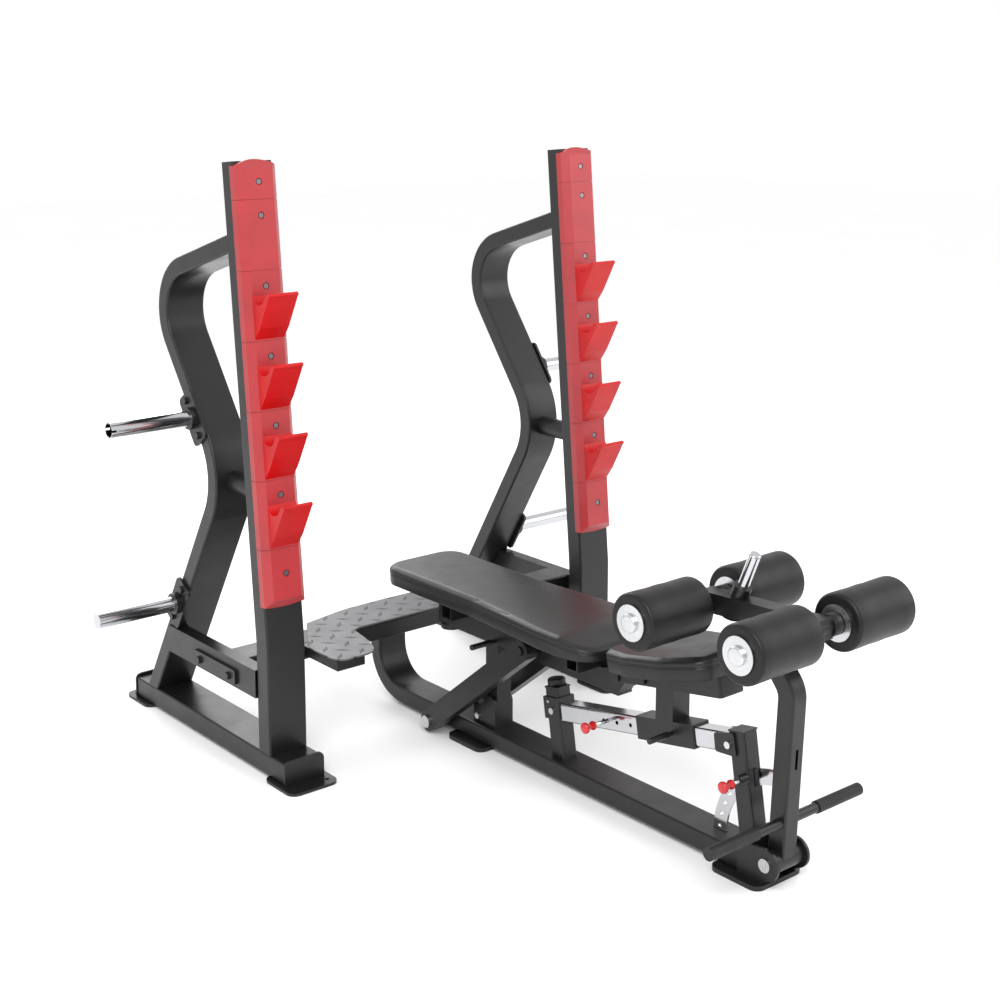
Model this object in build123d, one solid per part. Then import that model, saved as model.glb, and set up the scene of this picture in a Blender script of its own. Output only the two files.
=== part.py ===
from build123d import *
from math import cos, radians, sin, tan
import os

os.makedirs("parts", exist_ok=True)

# Olympic flat bench press station. Millimetres, X to the side, Y to the rear, Z up.
# Side-view places are (y, z), with y = 0 near the front face of the stands.
# Everything is moved by SHIFT_Y at the end, so the origin is the middle of the footprint.

# ---- fits
FIT = 0.05            # radial running clearance of every axle
SLACK = 0.5           # gap of sliding tubes and of pins in their holes
GAP = 0.6             # gap between faces that pass each other

# ---- stand tubes
STAND_X = 572.0
STAND_TUBE_X = 120.0
UPRIGHT_DEEP = 60.0
LOOP_DEEP = 50.0
TUBE_WALL = 3.0
TUBE_CORNER = 6.0
FOOT_THICK = 8.0
BASE_TALL = 60.0
BASE_FRONT = -78.0
END_CAP = 4.0
BASE_REAR = 765.0
END_PLATE = 6.0
END_PLATE_PROUD = 10.0
UPRIGHT_Y = 24.0
BEND_Z = 370.0
LEAN = 5.0
LEAN_LENGTH = 1306.0
LOOP_TOP = (110.0, 1465.7)
LOOP_REAR = (608.0, 1314.0)
LOOP_REAR_R = 140.0
LOOP_KNEE = (228.5, 793.0)
LOOP_KNEE_R = 200.0
LOOP_FOOT_Y = 664.0
SPACER_Z = 780.0
SPACER_R = 30.0
BRACE_X = 40.0
BRACE_OUTER = 637.0
BRACE_TALL = 80.0
BRACE_PLATE = 8.0
BRACE_BOLTS_Y = (185.0, 345.0)

# ---- stand feet
FOOT_WIDE = 155.0
FOOT_LONG = 148.0
FOOT_CORNER = 28.0
FRONT_FOOT_Y = -67.0
REAR_FOOT_Y = 739.0
FOOT_HOLE_R = 7.0
FOOT_HOLE_PITCH = 105.0
FOOT_HOLE_IN = 29.0

# ---- front cover and bar hooks, in the leaning frame of the upright
COVER_WALL = 3.0
COVER_FRONT = 26.0
COVER_SIDE = 15.0
COVER_CHAMFER = 19.0
COVER_ARCH = 17.0
COVER_TOP_BEVEL = 22.0
RECESS_R = 9.5
RECESS = 5.0
COVER_BOTTOM = 108.0
COVER_BEVEL = 25.0
COVER_CAP = 4.0
SEAM = 2.0
SEAM_DEEP = 1.6
HOOK_COUNT = 4
HOOK_PITCH = 186.4
HOOK_WIDE = 90.0
HOOK_SINK = 24.0
HOOK_LONG = 139.0
HOOK_REACH = 80.0
FIRST_HOOK = 416.0
FIRST_SEAM = 271.0
SEAM_COUNT = 6
LOW_SCREW = 202.0
TOP_SCREW_UP = 88.7
SCREW_R = 4.0
SCREW_HEAD_R = 7.0
SCREW_HEAD = 4.0

# ---- plate horns
HORN_R = 22.5
HORN_WALL = 3.0
HORN_TIP = 893.0
HORN_UPPER = (352.0, 951.0)
HORN_LOWER = (475.0, 382.0)
HORN_COLLAR_R = 31.0
HORN_COLLAR = 16.0
HORN_FLANGE = 8.0
HORN_FLANGE_LONG = 150.0
HORN_FLANGE_WIDE = 76.0
HORN_BOLT_OFF = 55.0
BOLT_R = 6.0
BOLT_HEAD_R = 10.5
BOLT_HEAD = 8.0

# ---- cross-member and platform
CROSS_FRONT = 150.0
CROSS_DEEP = 100.0
CROSS_TALL = 50.0
CROSS_TOP = 297.0
TREAD = 5.0
LOBE_FRONT = -43.0
LOBE_OUT = 432.0
LOBE_IN = 268.0
TREAD_NOTCH = 154.0
TREAD_REAR = 320.0
ARM_TUBE_X = 92.0
ARM_TUBE_TALL = 28.0

# ---- bench frame
BEAM_X = 100.0
BEAM_TALL = 50.0
BEAM_FRONT = -1210.0
BEAM_REAR = 345.0
BENCH_FOOT = 12.0
BENCH_FOOT_X = 170.0
BENCH_FOOT_LONG = 158.0
FRONT_BENCH_FOOT_Y = -1190.0
REAR_BENCH_FOOT_Y = -157.0
BOX_TUBE = 50.0
COLUMN_Y = -216.0
COLUMN_TOP = 308.5
EAR_THICK = 8.0
GUIDE_FOOT_Y = -499.5
GUIDE_LEAN = 9.1
GUIDE_TOP = 250.0
RAIL_AT = (-807.0, 249.5)
RAIL_RISE = 10.48
SLEEVE = 60.0
SLEEVE_Z = (168.0, 227.0)
FRONT_POST_FOOT_Y = -1184.0
FRONT_POST_LEAN = 9.5
FRONT_POST_TOP = 345.0

# ---- sliding seat carriage
COLLAR = 60.0
COLLAR_LONG = 200.0
SEAT_POST_Y = -903.0
SEAT_TUBE_X = 80.0
SEAT_TUBE_TALL = 55.0
SEAT_TUBE_REAR = (-788.0, 364.0)
SEAT_TUBE_LONG = 314.7
SEAT_RISE = 9.8
SEAT_PAD_THICK = 60.0
SEAT_PAD_LONG = 316.0

# ---- back rest
HINGE = (-746.0, 372.0)
HINGE_R = 8.0
HINGE_BARREL_R = 20.0
BACK_TUBE_BOTTOM = 309.0
BACK_TUBE_TALL = 60.0
BACK_TUBE_REAR = 28.0
BACK_PAD_BOTTOM = 421.0
BACK_PAD_THICK = 57.0
BACK_PAD_FRONT = -735.0
BACK_PAD_REAR = 163.0
BACK_HALF_REAR = 131.0
BACK_HALF_WIDE = 158.0

# ---- lifting arms
ARM_LOW = (-21.0, 36.0)
ARM_HIGH = (-436.0, 366.0)
ARM_X = (68.0, 108.0)
ARM_DEEP = 60.0
ARM_AXLE_R = 12.0

# ---- leg hold
LEG_PIVOT = (-1268.0, 62.0)
LEG_AXLE_R = 10.0
LEG_BOSS_R = 27.5
LEG_KNEE = (-1287.0, 485.0)
LEG_KNEE_R = 60.0
LEG_TOP = (-1172.0, 625.0)
LEG_SLOT = (9.0, 296.0, 346.0)
FORK_X = 50.0
FORK_R = 39.0
LADDER_R = (174.0, 214.0)
LADDER_THICK = 6.0
LADDER_HOLES = 7
LADDER_PITCH = 9.5
FOOTREST = (-1280.0, 162.0)
FOOTREST_R = 12.5
FOOTREST_HALF = 265.0
FOOTREST_GRIP_R = 15.5
FOOTREST_GRIP = 158.0
ROLLER_REAR = (-1026.0, 640.0)
ROLLER_FRONT = (-1358.0, 655.0)
ROLLER_R = 70.0
ROLLER_X = (62.0, 270.0)
ROLLER_AXLE_R = 21.0
ROLLER_DISC_R = 44.0
ROLLER_DISC = 4.0
ROLLER_CAP_R = 23.0
GRIP_LOW = (-1114.0, 668.0)
GRIP_HIGH = (-1163.0, 786.0)
GRIP_R = 14.5

# ---- pull pins
RAIL_PIN = (-693.2, 229.8)
LADDER_PIN = (-1172.0, 236.0)
CARRIAGE_PIN = (-929.0, 272.1)
BACK_PIN = (-228.0, 318.0)
PIN_R = 5.0
PIN_REACH = 110.0

FRONT_MOST = ROLLER_FRONT[0] - ROLLER_R
REAR_MOST = REAR_FOOT_Y + FOOT_LONG / 2
SHIFT_Y = -(FRONT_MOST + REAR_MOST) / 2


# ---------------------------------------------------------------- shapes
def block(x, y, z):
    """Box between (low, high) pairs."""
    middle = Pos((x[0] + x[1]) / 2, (y[0] + y[1]) / 2, (z[0] + z[1]) / 2)
    return middle * Box(x[1] - x[0], y[1] - y[0], z[1] - z[0])


def rod_x(place, low, high, radius):
    """Round bar along X through the side-view place."""
    middle = Pos((low + high) / 2, place[0], place[1])
    return middle * Rot(0, 90, 0) * Cylinder(radius, high - low)


def rod(start, end, radius):
    """Round bar between two points."""
    run = Vector(*end) - Vector(*start)
    return extrude(Plane(Vector(*start), z_dir=run) * Circle(radius), amount=run.length)


def corner_path(corners, closed=False):
    """Edges through (u, v, radius) corners, each corner rounded with its radius."""
    spots = [Vector(u, v) for u, v, _ in corners]
    count = len(spots)
    pieces = []
    joins = []
    for index, (_, _, radius) in enumerate(corners):
        spot = spots[index]
        at_end = not closed and index in (0, count - 1)
        if at_end or radius == 0:
            joins.append((spot, None, spot))
            continue
        back = (spots[index - 1] - spot).normalized()
        ahead = (spots[(index + 1) % count] - spot).normalized()
        half = radians(back.get_angle(ahead) / 2)
        reach = radius / tan(half)
        middle = spot + (back + ahead).normalized() * (radius / sin(half) - radius)
        joins.append((spot + back * reach, middle, spot + ahead * reach))
    for index, (first, middle, last) in enumerate(joins):
        if middle is not None:
            pieces.append(ThreePointArc(first, middle, last))
        if index + 1 < count or closed:
            pieces.append(Line(last, joins[(index + 1) % count][0]))
    return pieces


def outline(corners):
    """Flat face inside rounded corners."""
    return make_face(corner_path(corners, closed=True))


def side_plate(corners, low, high):
    """Plate with its outline in the side view, between two X stations."""
    face = Plane.YZ.offset(low) * outline(corners)
    return extrude(face, amount=high - low, dir=(1, 0, 0))


def side_bar(start, end, deep, low, high):
    """Straight bar between two side-view places, deep across its length."""
    first = Vector(*start)
    last = Vector(*end)
    across = (last - first).normalized().rotate(Axis.Z, 90) * (deep / 2)
    spots = (first + across, last + across, last - across, first - across)
    return side_plate([(spot.X, spot.Y, 0) for spot in spots], low, high)


def side_tube(corners, wide, deep, x=0.0, wall=TUBE_WALL):
    """Rectangular tube along a side-view path; wall 0 gives its full envelope."""
    path = Plane.YZ.offset(x) * Wire(corner_path(corners))
    section = RectangleRounded(wide, deep, TUBE_CORNER)
    if wall:
        section -= RectangleRounded(wide - 2 * wall, deep - 2 * wall, TUBE_CORNER - wall)
    start = Plane(path.position_at(0), x_dir=(1, 0, 0), z_dir=path.tangent_at(0))
    return sweep(start * section, path=path)


def both_sides(part):
    """The part and its mirror image across the middle plane."""
    return [part, mirror(part, about=Plane.YZ)]


def bolt_x(place, low, high, head_at):
    """Hex bolt along X with its head beyond the head_at end."""
    side = 1 if head_at > (low + high) / 2 else -1
    head = Plane.YZ.offset(head_at) * Pos(*place) * RegularPolygon(BOLT_HEAD_R, 6)
    washer = rod_x(place, min(head_at, head_at + side), max(head_at, head_at + side), BOLT_HEAD_R + 2)
    shank = rod_x(place, low, high, BOLT_R)
    return shank + washer + extrude(head, amount=BOLT_HEAD, dir=(side, 0, 0))


def along(start, angle, distance):
    """Side-view place at a distance forward and up from the start."""
    return (start[0] - distance * cos(radians(angle)), start[1] + distance * sin(radians(angle)))


# ---------------------------------------------------------------- leaning frame of the upright
LEAN_SIN = sin(radians(LEAN))
LEAN_COS = cos(radians(LEAN))
LEAN_FACE = (
    UPRIGHT_Y - UPRIGHT_DEEP / 2 * LEAN_COS,
    BEND_Z + UPRIGHT_DEEP / 2 * LEAN_SIN,
)
LEAN_TOP = (UPRIGHT_Y + LEAN_LENGTH * LEAN_SIN, BEND_Z + LEAN_LENGTH * LEAN_COS)
HOOK_AT = [FIRST_HOOK + HOOK_PITCH * index for index in range(HOOK_COUNT)]
HIGH_SCREW = FIRST_HOOK + HOOK_PITCH * HOOK_COUNT
PLAIN_SCREWS = [LOW_SCREW, HIGH_SCREW, HIGH_SCREW + TOP_SCREW_UP]


def lean_frame(distance=0.0):
    """Plane on the upright's front face: x to the side, y up the lean, z forward."""
    origin = (-STAND_X, LEAN_FACE[0] + distance * LEAN_SIN, LEAN_FACE[1] + distance * LEAN_COS)
    return Plane(origin, x_dir=(1, 0, 0), z_dir=(0, -LEAN_COS, LEAN_SIN))


def lean_rod(distance, low, high, radius):
    """Round bar straight out of the leaning face."""
    return lean_frame(distance) * Pos(0, 0, (low + high) / 2) * Cylinder(radius, high - low)


def lean_slab(half_x, up, out):
    """Box in the leaning frame from ranges up the lean and out of it."""
    middle = Pos(0, (up[0] + up[1]) / 2, (out[0] + out[1]) / 2)
    return lean_frame() * middle * Box(2 * half_x, up[1] - up[0], out[1] - out[0])


def screw_holes():
    """Clearance holes for every screw of one stand."""
    return [lean_rod(at, -TUBE_WALL - 12, COVER_FRONT + 20, SCREW_R + SLACK) for at in HOOK_AT + PLAIN_SCREWS]


# ---------------------------------------------------------------- stand, left side
BASE_TOP = FOOT_THICK + BASE_TALL
UPRIGHT_PATH = [(UPRIGHT_Y, BASE_TOP, 0), (UPRIGHT_Y, BEND_Z, 300.0), (*LEAN_TOP, 0)]
LOOP_FOOT_LEAN = tan(radians(31.0))
LOOP_PATH = [
    (*LOOP_TOP, 0),
    (*LOOP_REAR, LOOP_REAR_R),
    (*LOOP_KNEE, LOOP_KNEE_R),
    (LOOP_FOOT_Y + 40 * LOOP_FOOT_LEAN, BASE_TOP - 40, 0),
]


def upright_envelope():
    """Outer shape of the upright without its bore."""
    return side_tube(UPRIGHT_PATH, STAND_TUBE_X, UPRIGHT_DEEP, -STAND_X, wall=0)


def loop_envelope():
    """Outer shape of the rear loop without its bore."""
    return side_tube(LOOP_PATH, STAND_TUBE_X, LOOP_DEEP, -STAND_X, wall=0)


def make_base_beam():
    """Floor tube with an upright end plate at each end."""
    half = STAND_TUBE_X / 2
    tube = block((-STAND_X - half, -STAND_X + half), (BASE_FRONT, BASE_REAR), (FOOT_THICK, BASE_TOP))
    tube = fillet(tube.edges().filter_by(Axis.Y), TUBE_CORNER)
    inner = half - TUBE_WALL
    bore = block(
        (-STAND_X - inner, -STAND_X + inner),
        (BASE_FRONT, BASE_REAR),
        (FOOT_THICK + TUBE_WALL, BASE_TOP - TUBE_WALL),
    )
    low = FOOT_THICK
    high = BASE_TOP + END_PLATE_PROUD
    wide = half + 3
    plate = Plane.XZ * outline([(-wide, low, 0), (wide, low, 0), (wide, high, 20), (-wide, high, 20)])
    plates = []
    for at in (BASE_FRONT, BASE_REAR + END_PLATE):
        plates.append(Pos(-STAND_X, at, 0) * extrude(plate, amount=END_PLATE, dir=(0, -1, 0)))
    return tube - bore + plates[0] + plates[1]


def foot_plate(middle_y, hole_y):
    """Rounded floor plate with two anchor holes."""
    half_x = FOOT_WIDE / 2
    half_y = FOOT_LONG / 2
    corners = [(-half_x, -half_y), (half_x, -half_y), (half_x, half_y), (-half_x, half_y)]
    plate = extrude(outline([(*spot, FOOT_CORNER) for spot in corners]), amount=FOOT_THICK, dir=(0, 0, 1))
    plate = Pos(-STAND_X, middle_y, 0) * plate
    for side in (-1, 1):
        spot = Pos(-STAND_X + side * FOOT_HOLE_PITCH / 2, hole_y, FOOT_THICK / 2)
        plate -= spot * Cylinder(FOOT_HOLE_R, FOOT_THICK * 2)
    return plate


def make_stand_feet():
    """Front and rear floor plates of one stand."""
    front = foot_plate(FRONT_FOOT_Y, FRONT_FOOT_Y - FOOT_LONG / 2 + FOOT_HOLE_IN)
    rear = foot_plate(REAR_FOOT_Y, REAR_FOOT_Y + FOOT_LONG / 2 - FOOT_HOLE_IN)
    return Compound([front, rear])


def make_upright():
    """Front tube: plumb below, leaning back above, capped and holed for the cover screws."""
    tube = side_tube(UPRIGHT_PATH, STAND_TUBE_X, UPRIGHT_DEEP, -STAND_X)
    half = STAND_TUBE_X / 2 - TUBE_WALL
    tube += lean_slab(half, (LEAN_LENGTH - END_CAP, LEAN_LENGTH), (TUBE_WALL - UPRIGHT_DEEP, -TUBE_WALL))
    for hole in screw_holes():
        tube -= hole
    return tube


def make_loop():
    """Rear tube: down from the upright, round the back, in to the knee and out to the foot."""
    tube = side_tube(LOOP_PATH, STAND_TUBE_X, LOOP_DEEP, -STAND_X)
    tube -= upright_envelope()
    tube -= block((-STAND_X - 100, -STAND_X + 100), (500, 900), (-50, BASE_TOP))
    return tube


def make_spacer():
    """Round tube that ties the knee to the upright."""
    tube = rod((-STAND_X, 60, SPACER_Z), (-STAND_X, 290, SPACER_Z), SPACER_R)
    tube -= rod((-STAND_X, 60, SPACER_Z), (-STAND_X, 290, SPACER_Z), SPACER_R - TUBE_WALL)
    return tube - upright_envelope() - loop_envelope()


def make_brace():
    """Flat-on-edge tube from the upright back to the loop."""
    low_z = CROSS_TOP - BRACE_TALL
    rear = UPRIGHT_Y + UPRIGHT_DEEP / 2
    outer = block((-BRACE_OUTER, -BRACE_OUTER + BRACE_X), (rear, 640), (low_z, CROSS_TOP))
    wall = TUBE_WALL
    bore = block(
        (-BRACE_OUTER + wall, -BRACE_OUTER + BRACE_X - wall),
        (rear, 640),
        (low_z + wall, CROSS_TOP - wall),
    )
    behind = side_plate([(540, 0, 0), (900, 0, 0), (900, 500, 0), (540, 500, 0)], -700, -500)
    brace = outer - bore - loop_envelope() - behind
    brace = brace.solids().sort_by(Axis.Y)[0]
    for at in BRACE_BOLTS_Y:
        brace -= rod_x((at, CROSS_TOP - 50), -700, -500, BOLT_R + SLACK)
    return brace


def make_brace_plate():
    """Outer strap plate of the cross-member joint."""
    plate = side_plate(
        [(150, 227, 8), (380, 227, 8), (380, 270, 8), (150, 270, 8)],
        -BRACE_OUTER - BRACE_PLATE,
        -BRACE_OUTER,
    )
    for at in BRACE_BOLTS_Y:
        plate -= rod_x((at, CROSS_TOP - 50), -700, -500, BOLT_R + SLACK)
    return plate


def cover_outline(grow, rear):
    """Half-hexagon section of the cover around the upright's front."""
    half = STAND_TUBE_X / 2 + grow
    front = -(COVER_FRONT - COVER_WALL + grow)
    cut = COVER_CHAMFER
    spots = [
        (-half, rear),
        (-half, front + cut),
        (-half + cut, front),
        (half - cut, front),
        (half, front + cut),
        (half, rear),
    ]
    return outline([(*spot, 0) for spot in spots])


def cover_run(grow, low, high, rear):
    """Length of cover section along the lean."""
    origin = (-STAND_X, LEAN_FACE[0] + low * LEAN_SIN, LEAN_FACE[1] + low * LEAN_COS)
    section = Plane(origin, x_dir=(1, 0, 0), z_dir=(0, LEAN_SIN, LEAN_COS)) * cover_outline(grow, rear)
    return extrude(section, amount=high - low, dir=(0, LEAN_SIN, LEAN_COS))


def cover_shape():
    """Front view of the cover: arched top and bowed lower edge."""
    half = STAND_TUBE_X / 2 + COVER_WALL
    top = LEAN_LENGTH + COVER_CAP
    shoulder = top - COVER_ARCH
    low = COVER_BOTTOM
    edges = [
        Line((-half, shoulder), (-half, low + 6)),
        ThreePointArc((-half, low + 6), (0, low), (half, low + 6)),
        Line((half, low + 6), (half, shoulder)),
        ThreePointArc((half, shoulder), (0, top), (-half, shoulder)),
    ]
    return extrude(lean_frame() * make_face(edges), amount=COVER_FRONT + COVER_SIDE + 20, both=True)


def cover_wedge(inner, outer):
    """Bevel cutter across the cover between two heights."""
    face = COVER_FRONT
    side = Plane(lean_frame().origin, x_dir=lean_frame().z_dir, z_dir=(-1, 0, 0)) * outline(
        [
            (COVER_WALL, inner, 0),
            (face, outer, 0),
            (face + 20, outer, 0),
            (face + 20, inner, 0),
        ]
    )
    return extrude(side, amount=STAND_TUBE_X, both=True)


def screw_recess(at):
    """Round sink for one screw head in the cover's face."""
    return lean_rod(at, COVER_FRONT - RECESS, COVER_FRONT + 30, RECESS_R)


def make_cover():
    """Moulded front cover with seams between its lengths, bevelled ends and screw sinks."""
    top = LEAN_LENGTH + COVER_CAP
    body = cover_run(COVER_WALL, COVER_BOTTOM, top, COVER_SIDE)
    body -= cover_wedge(COVER_BOTTOM, COVER_BOTTOM + COVER_BEVEL)
    body -= cover_wedge(top, top - COVER_TOP_BEVEL)
    body = body & cover_shape()
    hollow = cover_run(0, COVER_BOTTOM + 8, LEAN_LENGTH - COVER_ARCH - 6, COVER_SIDE + 5)
    hollow -= lean_slab(STAND_TUBE_X, (LEAN_LENGTH - COVER_TOP_BEVEL - COVER_ARCH, top + 20), (1, 60))
    hollow -= lean_slab(STAND_TUBE_X, (COVER_BOTTOM - 20, COVER_BOTTOM + COVER_BEVEL + 6), (1, 60))
    for at in HOOK_AT + PLAIN_SCREWS:
        hollow -= lean_rod(at, 1, COVER_FRONT, RECESS_R + COVER_WALL)
    seat = lean_slab(STAND_TUBE_X / 2, (COVER_BOTTOM - 20, top + 20), (-COVER_SIDE - 5, 0))
    shell = body - hollow - seat
    for index in range(SEAM_COUNT):
        at = FIRST_SEAM + HOOK_PITCH * index
        ring = cover_run(COVER_WALL + 5, at, at + SEAM, COVER_SIDE + 5)
        shell -= ring - cover_run(COVER_WALL - SEAM_DEEP, at - 1, at + SEAM + 1, COVER_SIDE + 8)
    for at in HOOK_AT + PLAIN_SCREWS:
        shell -= screw_recess(at)
    for hole in screw_holes():
        shell -= hole
    return shell.solids().sort_by(SortBy.VOLUME)[-1]


def make_hook(at):
    """Bar hook: rounded trough, rising flared lip and long ramp below."""
    frame = lean_frame(at)
    plane = Plane(frame.origin, x_dir=frame.z_dir, z_dir=(-1, 0, 0))
    face = COVER_FRONT
    side = [
        ThreePointArc((face, -HOOK_SINK), (face + 11, -40), (face + 31, -47)),
        ThreePointArc((face + 31, -47), (face + 49, -42), (face + 61, -29)),
        ThreePointArc((face + 61, -29), (face + 67, -22), (face + 75, -18)),
        ThreePointArc((face + 75, -18), (face + HOOK_REACH + 3, -19), (face + HOOK_REACH, -28)),
        Line((face + HOOK_REACH, -28), (face + 66, -50)),
        Line((face + 66, -50), (face + 27, -108)),
        Line((face + 27, -108), (face, -HOOK_LONG)),
        Line((face, -HOOK_LONG), (face, -HOOK_SINK)),
    ]
    hook = extrude(plane * make_face(side), amount=HOOK_WIDE / 2, both=True)
    long_edges = hook.edges().filter_by(Axis.X).filter_by(lambda edge: lean_out(edge) > COVER_FRONT + 20)
    low_edges = long_edges.sort_by(Axis.Z)[:1]
    return fillet(low_edges, 8)


def lean_out(edge):
    """Distance of an edge's middle in front of the upright's leaning face."""
    return lean_frame().to_local_coords(edge.center()).Z


def make_screws():
    """Button-head screws of one stand's hooks and cover."""
    screws = []
    for at in HOOK_AT + PLAIN_SCREWS:
        seat = COVER_FRONT - RECESS
        shank = lean_rod(at, -TUBE_WALL - 8, seat, SCREW_R)
        screws.append(shank + lean_rod(at, seat, seat + SCREW_HEAD, SCREW_HEAD_R))
    return screws


def horn_axis_tilt(place):
    """Angle of the loop tube beside a horn, for its flange."""
    return 36.0 if place is HORN_UPPER else -31.0


def make_horn(place, closed_tip):
    """Chrome tube that stands out sideways for spare plates."""
    root = -STAND_X - STAND_TUBE_X / 2 - HORN_FLANGE - HORN_COLLAR
    horn = rod_x(place, -HORN_TIP, root, HORN_R)
    bore_from = -HORN_TIP + (4 if closed_tip else -1)
    horn -= rod_x(place, bore_from, root, HORN_R - HORN_WALL)
    if not closed_tip:
        slot = block((-HORN_TIP - 1, -HORN_TIP + 14), (place[0] - 40, place[0] + 40), (place[1] - 3, place[1] + 3))
        horn -= slot
    return horn


def make_horn_mount(place):
    """Flange plate on the loop's outer face with collar ring and two bolts."""
    outer = -STAND_X - STAND_TUBE_X / 2
    half_long = HORN_FLANGE_LONG / 2
    half_wide = HORN_FLANGE_WIDE / 2
    plate_face = outline(
        [
            (-half_wide, -half_long, 14),
            (half_wide, -half_long, 14),
            (half_wide, half_long, 14),
            (-half_wide, half_long, 14),
        ]
    )
    turn = Plane.YZ.offset(outer - HORN_FLANGE) * Pos(*place) * Rot(0, 0, -horn_axis_tilt(place))
    plate = extrude(turn * plate_face, amount=HORN_FLANGE, dir=(1, 0, 0))
    ring = rod_x(place, outer - HORN_FLANGE - HORN_COLLAR, outer - HORN_FLANGE, HORN_COLLAR_R)
    mount = plate + ring
    tilt = radians(horn_axis_tilt(place))
    for side in (-1, 1):
        spot = (place[0] + side * HORN_BOLT_OFF * sin(tilt), place[1] + side * HORN_BOLT_OFF * cos(tilt))
        head = Plane.YZ.offset(outer - HORN_FLANGE) * Pos(*spot) * RegularPolygon(BOLT_HEAD_R, 6)
        mount += extrude(head, amount=BOLT_HEAD, dir=(-1, 0, 0))
    return mount


def brace_bolts():
    """Two bolts through the strap plate into the brace."""
    outer = -BRACE_OUTER - BRACE_PLATE
    inner = -BRACE_OUTER + BRACE_X
    return [bolt_x((at, CROSS_TOP - 50), outer, inner + 6, outer) for at in BRACE_BOLTS_Y]


# ---------------------------------------------------------------- platform
def make_cross_member():
    """Tube between the two stands' braces."""
    reach = BRACE_OUTER - BRACE_X
    rear = CROSS_FRONT + CROSS_DEEP
    low = CROSS_TOP - CROSS_TALL
    wall = TUBE_WALL
    tube = fillet(block((-reach, reach), (CROSS_FRONT, rear), (low, CROSS_TOP)).edges().filter_by(Axis.X), TUBE_CORNER)
    tube -= block((-reach, reach), (CROSS_FRONT + wall, rear - wall), (low + wall, CROSS_TOP - wall))
    for x in (-reach, reach):
        for at in BRACE_BOLTS_Y:
            tube -= rod_x((at, CROSS_TOP - 50), x - 8, x + 8, BOLT_R + SLACK)
    return tube


def make_tread_plate():
    """Spotter's plate: two forward lobes and a bowed rear edge."""
    right = [
        (0, TREAD_NOTCH, 0),
        (LOBE_IN - 22, TREAD_NOTCH, 34),
        (LOBE_IN, 40, 90),
        (LOBE_IN + 32, LOBE_FRONT, 58),
        (LOBE_OUT, LOBE_FRONT, 42),
        (LOBE_OUT, 100, 70),
        (LOBE_OUT - 108, TREAD_REAR - 40, 24),
        (LOBE_OUT - 260, TREAD_REAR - 6, 300),
        (0, TREAD_REAR, 0),
    ]
    half = extrude(outline(right), amount=TREAD, dir=(0, 0, 1))
    plate = Pos(0, 0, CROSS_TOP) * half
    return (plate + mirror(plate, about=Plane.YZ)).clean()


def make_platform_arm():
    """Flat tube under the left lobe, welded to the cross-member's front."""
    middle = -(LOBE_OUT + LOBE_IN) / 2 - 31
    half = ARM_TUBE_X / 2
    low = CROSS_TOP - ARM_TUBE_TALL
    tube = block((middle - half, middle + half), (LOBE_FRONT + 8, CROSS_FRONT), (low, CROSS_TOP))
    wall = TUBE_WALL
    return tube - block(
        (middle - half + wall, middle + half - wall),
        (LOBE_FRONT + 8 + wall, CROSS_FRONT - wall),
        (low + wall, CROSS_TOP - wall),
    )


# ---------------------------------------------------------------- bench frame
BEAM_TOP = BENCH_FOOT + BEAM_TALL
BEAM_Z = BENCH_FOOT + BEAM_TALL / 2
CROSS_REAR = CROSS_FRONT + CROSS_DEEP
RETURN_Z = CROSS_TOP - BEAM_TALL / 2
RETURN_Y = BEAM_REAR - BEAM_TALL / 2
HALF_BOX = BOX_TUBE / 2


def ladder_sector(low, high, start, end, thick):
    """Ring sector about the leg pivot, angles from the horizontal rear direction."""
    def spot(radius, angle):
        return (
            LEG_PIVOT[0] + radius * cos(radians(angle)),
            LEG_PIVOT[1] + radius * sin(radians(angle)),
        )

    middle = (start + end) / 2
    edges = [
        ThreePointArc(spot(low, start), spot(low, middle), spot(low, end)),
        Line(spot(low, end), spot(high, end)),
        ThreePointArc(spot(high, end), spot(high, middle), spot(high, start)),
        Line(spot(high, start), spot(low, start)),
    ]
    face = Plane.YZ * make_face(edges)
    return extrude(face, amount=thick / 2, dir=(1, 0, 0)) + extrude(face, amount=thick / 2, dir=(-1, 0, 0))


def ladder_way():
    """Room the ladder plate needs where it passes through tubes."""
    return ladder_sector(LADDER_R[0] - 2, LADDER_R[1] + 2, -16, 88, LADDER_THICK + 3)


def make_bench_beam():
    """Long floor tube that turns up and back in to the cross-member."""
    path = [
        (BEAM_FRONT, BEAM_Z, 0),
        (RETURN_Y, BEAM_Z, 125.0),
        (RETURN_Y, RETURN_Z, RETURN_Y - CROSS_REAR - 1),
        (CROSS_REAR, RETURN_Z, 0),
    ]
    beam = side_tube(path, BEAM_X, BEAM_TALL)
    beam -= ladder_way()
    return beam - rod_x(ARM_LOW, -BEAM_X, BEAM_X, ARM_AXLE_R)


def bench_foot(middle_y):
    """Rounded floor plate under the beam."""
    half_x = BENCH_FOOT_X / 2
    half_y = BENCH_FOOT_LONG / 2
    corners = [(-half_x, -half_y), (half_x, -half_y), (half_x, half_y), (-half_x, half_y)]
    plate = extrude(outline([(*spot, 26) for spot in corners]), amount=BENCH_FOOT, dir=(0, 0, 1))
    return Pos(0, middle_y, 0) * plate


def make_bench_feet():
    """Both floor plates of the bench."""
    return Compound([bench_foot(FRONT_BENCH_FOOT_Y), bench_foot(REAR_BENCH_FOOT_Y)])


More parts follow.
